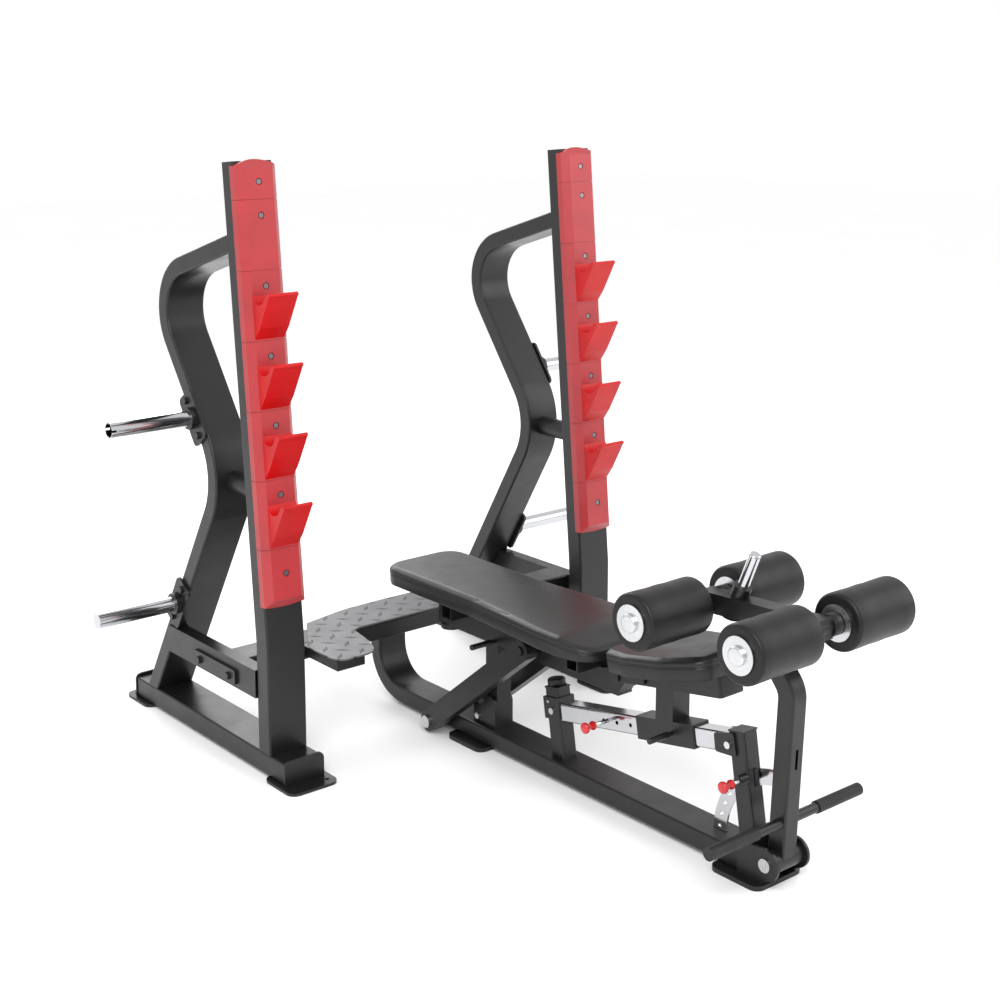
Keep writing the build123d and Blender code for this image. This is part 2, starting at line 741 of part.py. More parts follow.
def make_column():
    """Post that carries the flat back rest."""
    tube = block((-HALF_BOX, HALF_BOX), (COLUMN_Y - HALF_BOX, COLUMN_Y + HALF_BOX), (BEAM_TOP, COLUMN_TOP - 4))
    inner = HALF_BOX - TUBE_WALL
    tube -= block((-inner, inner), (COLUMN_Y - inner, COLUMN_Y + inner), (BEAM_TOP, COLUMN_TOP - 4))
    cap = block((-HALF_BOX, HALF_BOX), (COLUMN_Y - HALF_BOX, COLUMN_Y + HALF_BOX), (COLUMN_TOP - 4, COLUMN_TOP))
    return tube + cap


def make_column_ears():
    """Two side plates that clamp the column's foot."""
    front = COLUMN_Y - HALF_BOX
    ear = side_plate(
        [
            (front, BEAM_TOP, 0),
            (front + 96, BEAM_TOP, 0),
            (front + 96, BEAM_TOP + 90, 30),
            (front, BEAM_TOP + 90, 20),
        ],
        HALF_BOX,
        HALF_BOX + EAR_THICK,
    )
    return Compound(both_sides(ear))


def leaning_post(foot_y, lean, top):
    """Square post from the beam, leaning its top to the rear."""
    slope = tan(radians(lean))
    spots = [(foot_y - 20 * slope, BEAM_TOP - 20, 0), (foot_y + (top - BEAM_TOP) * slope, top, 0)]
    floor = block((-60, 60), (foot_y - 100, foot_y + 100), (BEAM_TOP - 60, BEAM_TOP))
    return spots, floor


def make_guide_post():
    """Rear post of the rail with its end cap."""
    spots, floor = leaning_post(GUIDE_FOOT_Y, GUIDE_LEAN, GUIDE_TOP)
    post = side_tube(spots, BOX_TUBE, BOX_TUBE) - floor
    last = spots[1]
    tip = (last[0] + 4 * sin(radians(GUIDE_LEAN)), last[1] + 4 * cos(radians(GUIDE_LEAN)))
    return post + side_bar(last, tip, BOX_TUBE, -HALF_BOX, HALF_BOX)


def sleeve_places():
    """Lower and upper middle of the rail sleeve on the guide post."""
    slope = tan(radians(GUIDE_LEAN))
    return [(GUIDE_FOOT_Y + (z - BEAM_TOP) * slope, z) for z in SLEEVE_Z]


def make_rail_sleeve():
    """Box sleeve around the guide post that carries the rail's rear end."""
    low, high = sleeve_places()
    half = SLEEVE / 2
    sleeve = side_bar(low, high, SLEEVE, -half, half)
    return sleeve - side_bar((low[0] - 8, low[1] - 50), (high[0] + 8, high[1] + 50), BOX_TUBE, -HALF_BOX, HALF_BOX)


def rail_place(y):
    """Place on the rail's middle line at a given y."""
    return (y, RAIL_AT[1] - (y - RAIL_AT[0]) * tan(radians(RAIL_RISE)))


def make_rail():
    """Chrome square rail that rises forward, holed for the carriage's pull pin."""
    low, high = sleeve_places()
    spots = [(*rail_place(low[0]), 0), (*rail_place(FRONT_POST_FOOT_Y + 20), 0)]
    rail = side_tube(spots, BOX_TUBE, BOX_TUBE)
    rail -= side_bar((low[0] - 8, low[1] - 50), (high[0] + 8, high[1] + 50), SLEEVE, -60, 60)
    posts, _ = leaning_post(FRONT_POST_FOOT_Y, FRONT_POST_LEAN, FRONT_POST_TOP)
    rail -= side_bar(posts[0][:2], posts[1][:2], BOX_TUBE, -60, 60)
    rail = rail.solids().sort_by(SortBy.VOLUME)[-1]
    rail -= rod_x(RAIL_PIN, -60, 60, PIN_R + SLACK)
    for step in range(6):
        spot = rail_place(CARRIAGE_PIN[0] + 50 * step)
        rail -= rod_x(spot, -60, -10, PIN_R + SLACK)
    return rail


def make_front_post():
    """Front post: carries the rail's front end and lets the ladder plate through."""
    spots, floor = leaning_post(FRONT_POST_FOOT_Y, FRONT_POST_LEAN, FRONT_POST_TOP - 4)
    post = side_tube(spots, BOX_TUBE, BOX_TUBE) - floor
    last = spots[1]
    tip = (last[0] + 4 * sin(radians(FRONT_POST_LEAN)), last[1] + 4 * cos(radians(FRONT_POST_LEAN)))
    post += side_bar(last, tip, BOX_TUBE, -HALF_BOX, HALF_BOX)
    post -= ladder_way()
    post += rod_x(LADDER_PIN, -52, -HALF_BOX, 13)
    return post - rod_x(LADDER_PIN, -60, -10, PIN_R + SLACK)


def make_head_bracket():
    """Two cheek plates that hold the rail's front end to the front post."""
    cheek = side_plate(
        [(-1146, 282, 8), (-1078, 276, 8), (-1072, 322, 8), (-1134, 340, 8)],
        HALF_BOX,
        HALF_BOX + 6,
    )
    return Compound(both_sides(cheek))


def make_fork():
    """Two ear plates that carry the leg arm's axle."""
    rear = -1180.0
    ear = side_plate(
        [
            (rear, BENCH_FOOT, 0),
            (rear, LEG_PIVOT[1] + 32, 14),
            (LEG_PIVOT[0] + 4, LEG_PIVOT[1] + FORK_R, 0),
            (LEG_PIVOT[0] - 30, LEG_PIVOT[1] - 20, 0),
            (LEG_PIVOT[0] + 6, BENCH_FOOT, 0),
        ],
        FORK_X,
        FORK_X + EAR_THICK,
    )
    ear += rod_x(LEG_PIVOT, FORK_X, FORK_X + EAR_THICK, FORK_R)
    ear -= rod_x(LEG_PIVOT, 0, 100, LEG_AXLE_R)
    return Compound(both_sides(ear))


def make_axles():
    """Fixed axles of the leg arm and of the lifting arms, with domed end caps."""
    leg = rod_x(LEG_PIVOT, -FORK_X - EAR_THICK, FORK_X + EAR_THICK, LEG_AXLE_R)
    for side in (-1, 1):
        out = side * (FORK_X + EAR_THICK)
        leg += rod_x(LEG_PIVOT, min(out, out + side * 5), max(out, out + side * 5), 17)
    arm = rod_x(ARM_LOW, -ARM_X[1] - 4, ARM_X[1] + 4, ARM_AXLE_R)
    for side in (-1, 1):
        out = side * (ARM_X[1] + GAP)
        arm += rod_x(ARM_LOW, min(out, out + side * 8), max(out, out + side * 8), 18)
        inner = side * BEAM_X / 2
        outer = side * (ARM_X[0] - GAP)
        arm += rod_x(ARM_LOW, min(inner, outer), max(inner, outer), 22)
    return Compound([leg, arm])


def make_bench_bolts():
    """Visible bolts of the column's ears, the sleeve and the head bracket."""
    bolts = []
    ear = HALF_BOX + EAR_THICK
    for place in ((-165.0, 80.0), (-177.0, 131.0)):
        bolts.append(rod_x(place, -ear - 6, -ear, 9))
        bolts.append(rod_x(place, ear, ear + 6, 9))
    sleeve = SLEEVE / 2
    for side in (-1, 1):
        out = side * sleeve
        bolts.append(rod_x((-482, 192), min(out, out + side * 6), max(out, out + side * 6), 9))
        bolts.append(rod_x((-466, 214), min(out, out + side * 3), max(out, out + side * 3), 4))
        head = side * (HALF_BOX + 6)
        bolts.append(rod_x((-1120, 306), min(head, head + side * 6), max(head, head + side * 6), 9))
    return Compound(bolts)


# ---------------------------------------------------------------- seat carriage
def carriage_tube(deep, half_x):
    """Length of rail-parallel bar that the collar covers."""
    front = along(RAIL_AT, RAIL_RISE, COLLAR_LONG)
    return side_bar(RAIL_AT, front, deep, -half_x, half_x)


def rail_bore():
    """Sliding space for the rail through the collar."""
    start = along(RAIL_AT, RAIL_RISE, -20)
    end = along(RAIL_AT, RAIL_RISE, COLLAR_LONG + 20)
    half = HALF_BOX + SLACK
    return side_bar(start, end, 2 * half, -half, half)


def seat_tube_bar(low, high):
    """Part of the seat tube's side view between two heights above its bottom."""
    rise = radians(SEAT_RISE)
    middle = (low + high) / 2
    start = (SEAT_TUBE_REAR[0] + middle * sin(rise), SEAT_TUBE_REAR[1] + middle * cos(rise))
    return start, along(start, SEAT_RISE, SEAT_TUBE_LONG), high - low


def make_seat_collar():
    """Sliding collar with the post that carries the seat tube."""
    collar = carriage_tube(COLLAR, COLLAR / 2)
    half = COLLAR / 2
    post = block((-half, half), (SEAT_POST_Y - half, SEAT_POST_Y + half), (rail_place(SEAT_POST_Y)[1], 440))
    inner = half - TUBE_WALL
    post -= block((-inner, inner), (SEAT_POST_Y - inner, SEAT_POST_Y + inner), (200, 440))
    start, end, deep = seat_tube_bar(0, SEAT_TUBE_TALL + 60)
    post -= side_bar(start, end, deep, -80, 80)
    collar = collar + post - rail_bore()
    collar -= rod_x(CARRIAGE_PIN, -80, -10, PIN_R + SLACK)
    return collar


def make_seat_tube():
    """Wide tube under the seat with the hinge lugs of the back rest."""
    start, end, deep = seat_tube_bar(0, SEAT_TUBE_TALL)
    half = SEAT_TUBE_X / 2
    tube = side_bar(start, end, deep, -half, half)
    inner_start, inner_end, inner_deep = seat_tube_bar(TUBE_WALL, SEAT_TUBE_TALL - TUBE_WALL)
    tube -= side_bar(inner_start, inner_end, inner_deep, -half + TUBE_WALL, half - TUBE_WALL)
    lug = side_plate(
        [
            (HINGE[0] + 22, HINGE[1] - 20, 18),
            (HINGE[0] + 20, HINGE[1] + 22, 18),
            (SEAT_TUBE_REAR[0] - 60, SEAT_TUBE_REAR[1] + 58, 10),
            (SEAT_TUBE_REAR[0] - 60, SEAT_TUBE_REAR[1] + 14, 10),
        ],
        half,
        half + EAR_THICK,
    )
    for piece in both_sides(lug):
        tube += piece
    return tube + make_hinge_axle()


def make_hinge_axle():
    """Axle of the back rest with silver caps."""
    half = SEAT_TUBE_X / 2 + EAR_THICK
    axle = rod_x(HINGE, -half, half, HINGE_R)
    for side in (-1, 1):
        out = side * half
        axle += rod_x(HINGE, min(out, out + side * 6), max(out, out + side * 6), 15)
    return axle


def seat_plane(height):
    """Plane of the seat: x to the side, y forward along its rise, z up."""
    rise = radians(SEAT_RISE)
    origin = (
        0,
        SEAT_TUBE_REAR[0] + height * sin(rise) - 10,
        SEAT_TUBE_REAR[1] + height * cos(rise) + 10 * tan(rise),
    )
    return Plane(origin, x_dir=(-1, 0, 0), z_dir=(0, sin(rise), cos(rise)))


def make_seat_pad():
    """Six-sided seat cushion."""
    half = [
        (128, 0, 38),
        (150, 100, 70),
        (140, 210, 70),
        (92, SEAT_PAD_LONG, 42),
    ]
    corners = half + [(-x, y, r) for x, y, r in reversed(half)]
    pad = extrude(seat_plane(SEAT_TUBE_TALL) * outline(corners), amount=SEAT_PAD_THICK)
    return pad


# ---------------------------------------------------------------- back rest
def make_back_frame():
    """Tube under the back pad with hinge barrel, pad brackets and rubber bumper."""
    top = BACK_TUBE_BOTTOM + BACK_TUBE_TALL
    front = HINGE[0] + 14
    tube = block((-HALF_BOX, HALF_BOX), (front, BACK_TUBE_REAR), (BACK_TUBE_BOTTOM, top))
    inner = HALF_BOX - TUBE_WALL
    tube -= block(
        (-inner, inner),
        (front + TUBE_WALL, BACK_TUBE_REAR - TUBE_WALL),
        (BACK_TUBE_BOTTOM + TUBE_WALL, top - TUBE_WALL),
    )
    barrel_half = SEAT_TUBE_X / 2 - GAP
    neck = side_plate(
        [
            (HINGE[0] - 12, HINGE[1] - 16, 0),
            (HINGE[0] - 4, HINGE[1] + 20, 0),
            (front + 60, top, 0),
            (front + 3, BACK_TUBE_BOTTOM + 3, 0),
        ],
        -HALF_BOX,
        HALF_BOX,
    )
    neck -= block((-HALF_BOX, HALF_BOX), (front, front + 100), (BACK_TUBE_BOTTOM, top))
    frame = tube + neck + rod_x(HINGE, -barrel_half, barrel_half, HINGE_BARREL_R)
    frame -= rod_x(HINGE, -100, 100, HINGE_R + FIT)
    for y in (-640.0, -110.0):
        bracket = block((-105, 105), (y - 22, y + 22), (top, BACK_PAD_BOTTOM))
        bracket -= block((-105, 105), (y - 18, y + 18), (top + 4, BACK_PAD_BOTTOM - 4))
        frame += bracket
    lug = rod_x(ARM_HIGH, -ARM_X[0] + 22, ARM_X[0] - 22, 19)
    frame += lug - block((-inner, inner), (ARM_HIGH[0] - 30, ARM_HIGH[0] + 30), (top - 40, top - TUBE_WALL))
    frame -= rod_x(BACK_PIN, -60, -10, PIN_R + SLACK)
    bumper = Pos(0, BACK_TUBE_REAR - 28, BACK_TUBE_BOTTOM - 7.5) * Cylinder(30, 15)
    return Compound([frame, bumper])


def make_back_pad():
    """Long back cushion, wider at the shoulders' far end and bevelled at the front."""
    half = [
        (BACK_HALF_REAR, BACK_PAD_REAR, 62),
        (BACK_HALF_REAR, -260, 300),
        (BACK_HALF_WIDE, -567, 120),
        (BACK_HALF_WIDE, -640, 60),
        (BACK_HALF_WIDE - 22, BACK_PAD_FRONT, 66),
    ]
    corners = half + [(-x, y, r) for x, y, r in reversed(half)]
    pad = extrude(outline(corners), amount=BACK_PAD_THICK, dir=(0, 0, 1))
    pad = Pos(0, 0, BACK_PAD_BOTTOM) * pad
    top = BACK_PAD_BOTTOM + BACK_PAD_THICK
    wedge = [(BACK_PAD_FRONT - 10, top - 24, 0), (-640, top, 0), (-640, top + 20, 0), (BACK_PAD_FRONT - 10, top + 20, 0)]
    return pad - side_plate(wedge, -200, 200)


def make_lifting_arms():
    """Pair of tubes that raise the back rest as the carriage slides."""
    low, high = ARM_X
    arm = side_bar(ARM_LOW, ARM_HIGH, ARM_DEEP, low, high)
    arm += rod_x(ARM_LOW, low, high, ARM_DEEP / 2)
    arm += rod_x(ARM_HIGH, low, high, ARM_DEEP / 2)
    inner = side_bar(ARM_LOW, ARM_HIGH, ARM_DEEP - 2 * TUBE_WALL, low + TUBE_WALL, high - TUBE_WALL)
    inner -= rod_x(ARM_LOW, low, high, ARM_DEEP / 2 - 6)
    inner -= rod_x(ARM_HIGH, low, high, ARM_DEEP / 2 - 6)
    arm -= inner
    arm -= rod_x(ARM_LOW, low - 1, high + 1, ARM_AXLE_R + FIT)
    arm += rod_x(ARM_HIGH, low - 20, low, 14)
    arm += rod_x(ARM_HIGH, high, high + 6, 13)
    return Compound(both_sides(arm))


# ---------------------------------------------------------------- leg hold
LEG_PATH = [(*LEG_PIVOT, 0), (*LEG_KNEE, LEG_KNEE_R), (*LEG_TOP, 0)]


def top_arm_bar(deep, half_x, extra=0.0):
    """Side bar between the roller axles."""
    first = Vector(*ROLLER_FRONT)
    last = Vector(*ROLLER_REAR)
    run = (last - first).normalized() * extra
    start = first - run
    end = last + run
    return side_bar((start.X, start.Y), (end.X, end.Y), deep, -half_x, half_x)


def make_leg_arm():
    """Upright tube of the leg hold with its pivot boss."""
    post = side_tube(LEG_PATH, BOX_TUBE, BOX_TUBE)
    boss = rod_x(LEG_PIVOT, -FORK_X + GAP, FORK_X - GAP, LEG_BOSS_R)
    arm = post + boss - rod_x(LEG_PIVOT, -80, 80, LEG_AXLE_R + FIT)
    arm -= rod_x(FOOTREST, -80, 80, FOOTREST_R)
    front = LEG_PIVOT[0] - HALF_BOX
    arm -= block((-LEG_SLOT[0] / 2, LEG_SLOT[0] / 2), (front - 20, front + 8), (LEG_SLOT[1], LEG_SLOT[2]))
    arm -= top_arm_bar(BOX_TUBE, 60, 30)
    return arm.solids().sort_by(SortBy.VOLUME)[-1]


def make_roller_frame():
    """Top tube with a cross axle at each end."""
    bar = top_arm_bar(BOX_TUBE, HALF_BOX, 18)
    bar -= top_arm_bar(BOX_TUBE - 2 * TUBE_WALL, HALF_BOX - TUBE_WALL, 14)
    for place in (ROLLER_REAR, ROLLER_FRONT):
        bar += rod_x(place, -ROLLER_X[1] - 1, ROLLER_X[1] + 1, ROLLER_AXLE_R)
        for side in (-1, 1):
            inner = side * HALF_BOX
            outer = side * (ROLLER_X[0] - 8)
            bar += rod_x(place, min(inner, outer), max(inner, outer), ROLLER_AXLE_R + 6)
    start = Vector(0, *GRIP_LOW)
    end = start + (Vector(0, *GRIP_HIGH) - start).normalized() * 34
    bar += rod((0, *GRIP_LOW), (end.X, end.Y, end.Z), GRIP_R + 8)
    return bar - rod((0, *GRIP_LOW), (0, *GRIP_HIGH), GRIP_R)


def make_roller_discs():
    """Silver discs and domed caps at both ends of every roller."""
    discs = []
    for place in (ROLLER_REAR, ROLLER_FRONT):
        outer = ROLLER_X[1] + 1
        disc = rod_x(place, outer, outer + ROLLER_DISC, ROLLER_DISC_R)
        dome = rod_x(place, outer + ROLLER_DISC, outer + ROLLER_DISC + 10, ROLLER_CAP_R)
        cap = disc + fillet(dome.edges().group_by(Axis.X)[-1], 6)
        inner = ROLLER_X[0] - 1
        washer = rod_x(place, inner - 4, inner, ROLLER_DISC_R)
        washer -= rod_x(place, inner - 4, inner, ROLLER_AXLE_R)
        discs += both_sides(cap)
        discs += both_sides(washer)
    return Compound(discs)


def make_roller(place, side):
    """Foam roller that turns on its axle."""
    low, high = sorted((side * ROLLER_X[0], side * ROLLER_X[1]))
    foam = rod_x(place, low, high, ROLLER_R)
    foam -= rod_x(place, low, high, ROLLER_AXLE_R + FIT)
    return foam


def make_ladder():
    """Curved plate of lock holes that guides the leg arm."""
    ladder = ladder_sector(*LADDER_R, -12, 84, LADDER_THICK)
    ladder -= side_tube(LEG_PATH, BOX_TUBE, BOX_TUBE, wall=0)
    middle = (LADDER_R[0] + LADDER_R[1]) / 2
    for index in range(LADDER_HOLES):
        angle = radians(61.0 - LADDER_PITCH * index)
        spot = (LEG_PIVOT[0] + middle * cos(angle), LEG_PIVOT[1] + middle * sin(angle))
        ladder -= rod_x(spot, -20, 20, PIN_R + 1)
    return ladder


def make_footrest_bar():
    """Bar across the leg arm for hands or feet."""
    bar = rod_x(FOOTREST, -FOOTREST_HALF, FOOTREST_HALF, FOOTREST_R)
    return bar - rod_x(FOOTREST, -FOOTREST_HALF, FOOTREST_HALF, FOOTREST_R - TUBE_WALL)


def make_footrest_grips():
    """Rubber sleeves on the bar's ends."""
    start = FOOTREST_HALF - FOOTREST_GRIP
    grip = rod_x(FOOTREST, start, FOOTREST_HALF + 4, FOOTREST_GRIP_R)
    grip -= rod_x(FOOTREST, start, FOOTREST_HALF, FOOTREST_R)
    return Compound(both_sides(grip))


def make_grip_tube():
    """Chrome hand tube on top of the leg hold."""
    tube = rod((0, *GRIP_LOW), (0, *GRIP_HIGH), GRIP_R)
    return fillet(tube.edges().group_by(Axis.Z)[-1], 5)


# ---------------------------------------------------------------- pull pins
def pull_pin(place, face, tip, red):
    """Pin along X: rod through the wall and a knob to hold."""
    rod_part = rod_x(place, -PIN_REACH + 20, tip, PIN_R)
    if red:
        knob = rod_x(place, -PIN_REACH, -PIN_REACH + 14, 15)
        knob += rod_x(place, -PIN_REACH + 14, -PIN_REACH + 26, 9)
        knob += rod_x(place, -PIN_REACH + 26, -PIN_REACH + 38, 14)
        knob = chamfer(knob.edges().group_by(Axis.X)[0], 3)
        return rod_part + knob
    sleeve = rod_x(place, -PIN_REACH, face - 14, 8)
    return rod_part + chamfer(sleeve.edges().group_by(Axis.X)[0], 2)


# ---------------------------------------------------------------- output
def save(name, part):
    """Write one node in the shared frame."""
    export_step(Pos(0, SHIFT_Y, 0) * part, f"parts/{name}.step")


def save_pair(name, part):
    """Write a left node and its mirror image."""
    for suffix, piece in zip(("left", "right"), both_sides(part)):
        save(f"{name}_{suffix}", piece)


def save_stands():
    """Write every node of the two stands."""
    save_pair("base_beam", make_base_beam())
    save("stand_feet", Compound(both_sides(make_stand_feet())))
    save_pair("upright", make_upright())
    save_pair("rear_loop", make_loop())
    save("braces", Compound(both_sides(make_brace())))
    save_pair("cover", make_cover())
    for index, at in enumerate(HOOK_AT):
        save_pair(f"bar_hook_{index + 1}", make_hook(at))
    save_pair("plate_horns", Compound([make_horn(HORN_UPPER, False), make_horn(HORN_LOWER, True)]))
    mounts = [make_horn_mount(HORN_UPPER), make_horn_mount(HORN_LOWER)]
    save("horn_mounts", Compound([piece for mount in mounts for piece in both_sides(mount)]))
    save("spacer_tubes", Compound(both_sides(make_spacer())))
    straps = [make_brace_plate() + brace_bolts()[0] + brace_bolts()[1]]
    save("brace_plates", Compound(both_sides(straps[0])))
    save("cover_screws", Compound([piece for screw in make_screws() for piece in both_sides(screw)]))


def save_bench_base():
    """Write the platform and the fixed bench frame."""
    save("cross_member", make_cross_member())
    save("tread_plate", make_tread_plate())
    save("platform_arms", Compound(both_sides(make_platform_arm())))
    save("bench_beam", make_bench_beam())
    save("bench_feet", make_bench_feet())
    save("column", make_column())
    save("column_ears", make_column_ears())
    save("guide_post", make_guide_post())
    save("rail_sleeve", make_rail_sleeve())
    save("rail", make_rail())
    save("front_post", make_front_post())
    save("head_bracket", make_head_bracket())
    save("fork", make_fork())
    save("pivot_axles", make_axles())
    save("bench_bolts", make_bench_bolts())


def save_moving():
    """Write the seat carriage, back rest, arms, leg hold and pins."""
    save("seat_collar", make_seat_collar())
    save("seat_tube", make_seat_tube())
    save("seat_pad", make_seat_pad())
    save("back_frame", make_back_frame())
    save("back_pad", make_back_pad())
    save("lifting_arms", make_lifting_arms())
    save("leg_arm", make_leg_arm())
    save("roller_frame", make_roller_frame())
    save("roller_discs", make_roller_discs())
    save("ladder_plate", make_ladder())
    save("footrest_bar", make_footrest_bar())
    save("footrest_grips", make_footrest_grips())
    save("grip_tube", make_grip_tube())
    for name, place in (("rear", ROLLER_REAR), ("front", ROLLER_FRONT)):
        save(f"foam_roller_{name}_left", make_roller(place, -1))
        save(f"foam_roller_{name}_right", make_roller(place, 1))
    save("rail_pin", pull_pin(RAIL_PIN, -HALF_BOX, HALF_BOX + 4, True))
    save("ladder_pin", pull_pin(LADDER_PIN, -52, -LADDER_THICK / 2 - GAP, True))
    save("carriage_pin", pull_pin(CARRIAGE_PIN, -COLLAR / 2, -HALF_BOX - GAP, False))
    save("back_pin", pull_pin(BACK_PIN, -HALF_BOX, -HALF_BOX + TUBE_WALL, False))


save_stands()
save_bench_base()
save_moving()
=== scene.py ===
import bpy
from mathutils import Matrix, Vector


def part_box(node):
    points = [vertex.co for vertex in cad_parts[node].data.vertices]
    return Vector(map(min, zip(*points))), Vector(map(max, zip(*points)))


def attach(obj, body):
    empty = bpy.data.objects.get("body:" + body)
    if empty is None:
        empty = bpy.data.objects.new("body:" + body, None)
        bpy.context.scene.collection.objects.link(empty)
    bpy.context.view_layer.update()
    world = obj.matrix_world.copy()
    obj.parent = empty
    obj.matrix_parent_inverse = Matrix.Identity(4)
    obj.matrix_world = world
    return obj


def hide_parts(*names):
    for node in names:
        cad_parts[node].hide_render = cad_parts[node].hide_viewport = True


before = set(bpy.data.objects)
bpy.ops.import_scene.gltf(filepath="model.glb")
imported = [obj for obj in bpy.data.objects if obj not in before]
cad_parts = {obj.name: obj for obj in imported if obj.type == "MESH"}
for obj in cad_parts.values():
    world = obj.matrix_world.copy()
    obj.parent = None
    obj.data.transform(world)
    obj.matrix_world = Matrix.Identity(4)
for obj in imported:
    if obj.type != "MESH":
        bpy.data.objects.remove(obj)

"""Finishes, cushions, foam rollers and pull pins of an olympic bench press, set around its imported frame."""

import logging
import math
from dataclasses import dataclass
from enum import Enum

import bmesh
import bpy
from mathutils import Matrix, Vector

LOG = logging.getLogger("bench_press")
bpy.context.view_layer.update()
MM = 0.001
SHIFT_Y_MM = 307.5
SIDEWAYS = Vector((1, 0, 0))
UPWARD = Vector((0, 0, 1))


class Surface(Enum):
    """Kinds of fine relief a finish can have."""

    POWDER = "powder"
    MOULDED = "moulded"
    POLISHED = "polished"
    ZINC = "zinc"
    TREAD = "tread"
    VINYL = "vinyl"
    FOAM = "foam"
    RIBBED = "ribbed"
    PLAIN = "plain"


@dataclass(frozen=True)
class Finish:
    """One surface finish with its colour and relief."""

    name: str
    colour: str
    roughness: float
    surface: Surface
    grain_mm: float
    relief_mm: float
    metallic: float = 0.0
    coat: float = 0.0
    mottle: float = 0.12
    patch_mm: float = 90.0
    specular: float = 0.5


# Powder-coated steel tube: a fine orange peel softens the highlights of the flat faces.
FRAME_BLACK = Finish(
    "frame_black", "#151516", 0.38, Surface.POWDER, 1.4, 0.10, coat=0.08, mottle=0.06, specular=0.4
)
# Injection-moulded ABS cover: satin, with a soft highlight along its bevels.
COVER_RED = Finish("cover_red", "#A3262B", 0.40, Surface.MOULDED, 0.9, 0.04, coat=0.15)
# Injection-moulded nylon hook: a deeper red and duller than the cover.
HOOK_RED = Finish("hook_red", "#B80408", 0.42, Surface.MOULDED, 0.9, 0.05, specular=0.35)
# Moulded polypropylene knob: the glossiest plastic of the machine.
KNOB_RED = Finish("knob_red", "#C4121A", 0.25, Surface.MOULDED, 0.8, 0.03, coat=0.5)
# Chrome-plated steel: nearly a mirror, faintly drawn along X.
CHROME = Finish("chrome", "#C4C5C8", 0.12, Surface.POLISHED, 3.0, 0.01, metallic=1.0, mottle=0.04)
# Zinc-plated axle ends, bolts and discs: bright but softer than chrome.
SILVER = Finish("fastener_silver", "#C9CACC", 0.28, Surface.ZINC, 1.2, 0.03, metallic=1.0)
# Zinc-plated screws, painted darker than the other zinc parts as painted shade of their recesses.
SHADED_SCREW_ZINC = Finish("screw_zinc_painted_shade", "#7E8083", 0.32, Surface.ZINC, 1.2, 0.03, metallic=1.0)
# Rolled steel checker plate: lozenges alternate in direction, and they are painted darker than the plate as
# painted shade of the relief.
TREAD_GREY = Finish("tread_grey", "#5E5F61", 0.42, Surface.TREAD, 52.0, 2.6, metallic=0.3)
# Coated vinyl: a shallow leather grain under a satin skin. It is drawn coarser than real so that it shows.
VINYL = Finish(
    "vinyl_black", "#131314", 0.42, Surface.VINYL, 1.5, 0.14, coat=0.05, mottle=0.05, specular=0.42
)
# Dipped nitrile foam: smooth skin with a faint cell pattern, nearly no gloss of its own.
FOAM = Finish("foam_black", "#0C0C0D", 0.44, Surface.FOAM, 1.3, 0.18, mottle=0.05, specular=0.34)
# Moulded polyethylene plugs: matt.
PLUG_BLACK = Finish("plug_black", "#101011", 0.46, Surface.MOULDED, 0.9, 0.05, specular=0.4)
# Extruded rubber sleeves: matt, with shallow ribs.
RUBBER = Finish("rubber_black", "#121213", 0.6, Surface.RIBBED, 5.0, 0.5)
# Painted shade: colour laid on the raised lozenges of the checker plate.
LOZENGE_PAINTED_SHADE = "#2A2A2B"
# Painted studio floor: white enough to merge with the sky at its far edge.
FLOOR = Finish(
    "studio_floor", "#FEFEFE", 0.8, Surface.PLAIN, 4.0, 0.02, mottle=0.01, patch_mm=800.0, specular=0.2
)

BLACK_NODES = (
    "base_beam_left base_beam_right stand_feet upright_left upright_right rear_loop_left rear_loop_right "
    "braces horn_mounts spacer_tubes brace_plates cross_member platform_arms bench_beam bench_feet column "
    "column_ears guide_post rail_sleeve front_post head_bracket fork seat_collar seat_tube back_frame "
    "lifting_arms leg_arm roller_frame footrest_bar carriage_pin back_pin"
).split()
DRESSING: dict[Finish, list[str]] = {
    FRAME_BLACK: BLACK_NODES,
    COVER_RED: ["cover_left", "cover_right"],
    HOOK_RED: [f"bar_hook_{number}_{side}" for number in (1, 2, 3, 4) for side in ("left", "right")],
    CHROME: ["plate_horns_left", "plate_horns_right", "rail", "ladder_plate", "grip_tube"],
    SILVER: ["pivot_axles", "bench_bolts", "roller_discs"],
    # The cover screws take zinc darkened as painted shade.
    SHADED_SCREW_ZINC: ["cover_screws"],
    TREAD_GREY: ["tread_plate"],
    RUBBER: ["footrest_grips"],
}


def linear(hex_colour: str, gain: float = 1.0) -> tuple[float, float, float, float]:
    """Turns an sRGB hex colour into linear light.

    Args:
        hex_colour: Colour as "#RRGGBB".
        gain: Factor on the linear value.

    Returns:
        Linear red, green, blue and alpha.
    """
    channels = []
    for start in (1, 3, 5):
        value = int(hex_colour[start : start + 2], 16) / 255
        value = value / 12.92 if value <= 0.04045 else ((value + 0.055) / 1.055) ** 2.4
        channels.append(min(value * gain, 1.0))
    return (*channels, 1.0)


def per_mm(size_mm: float) -> float:
    """Texture scale, in cycles per metre, of a pattern of this size."""
    return 1000.0 / size_mm


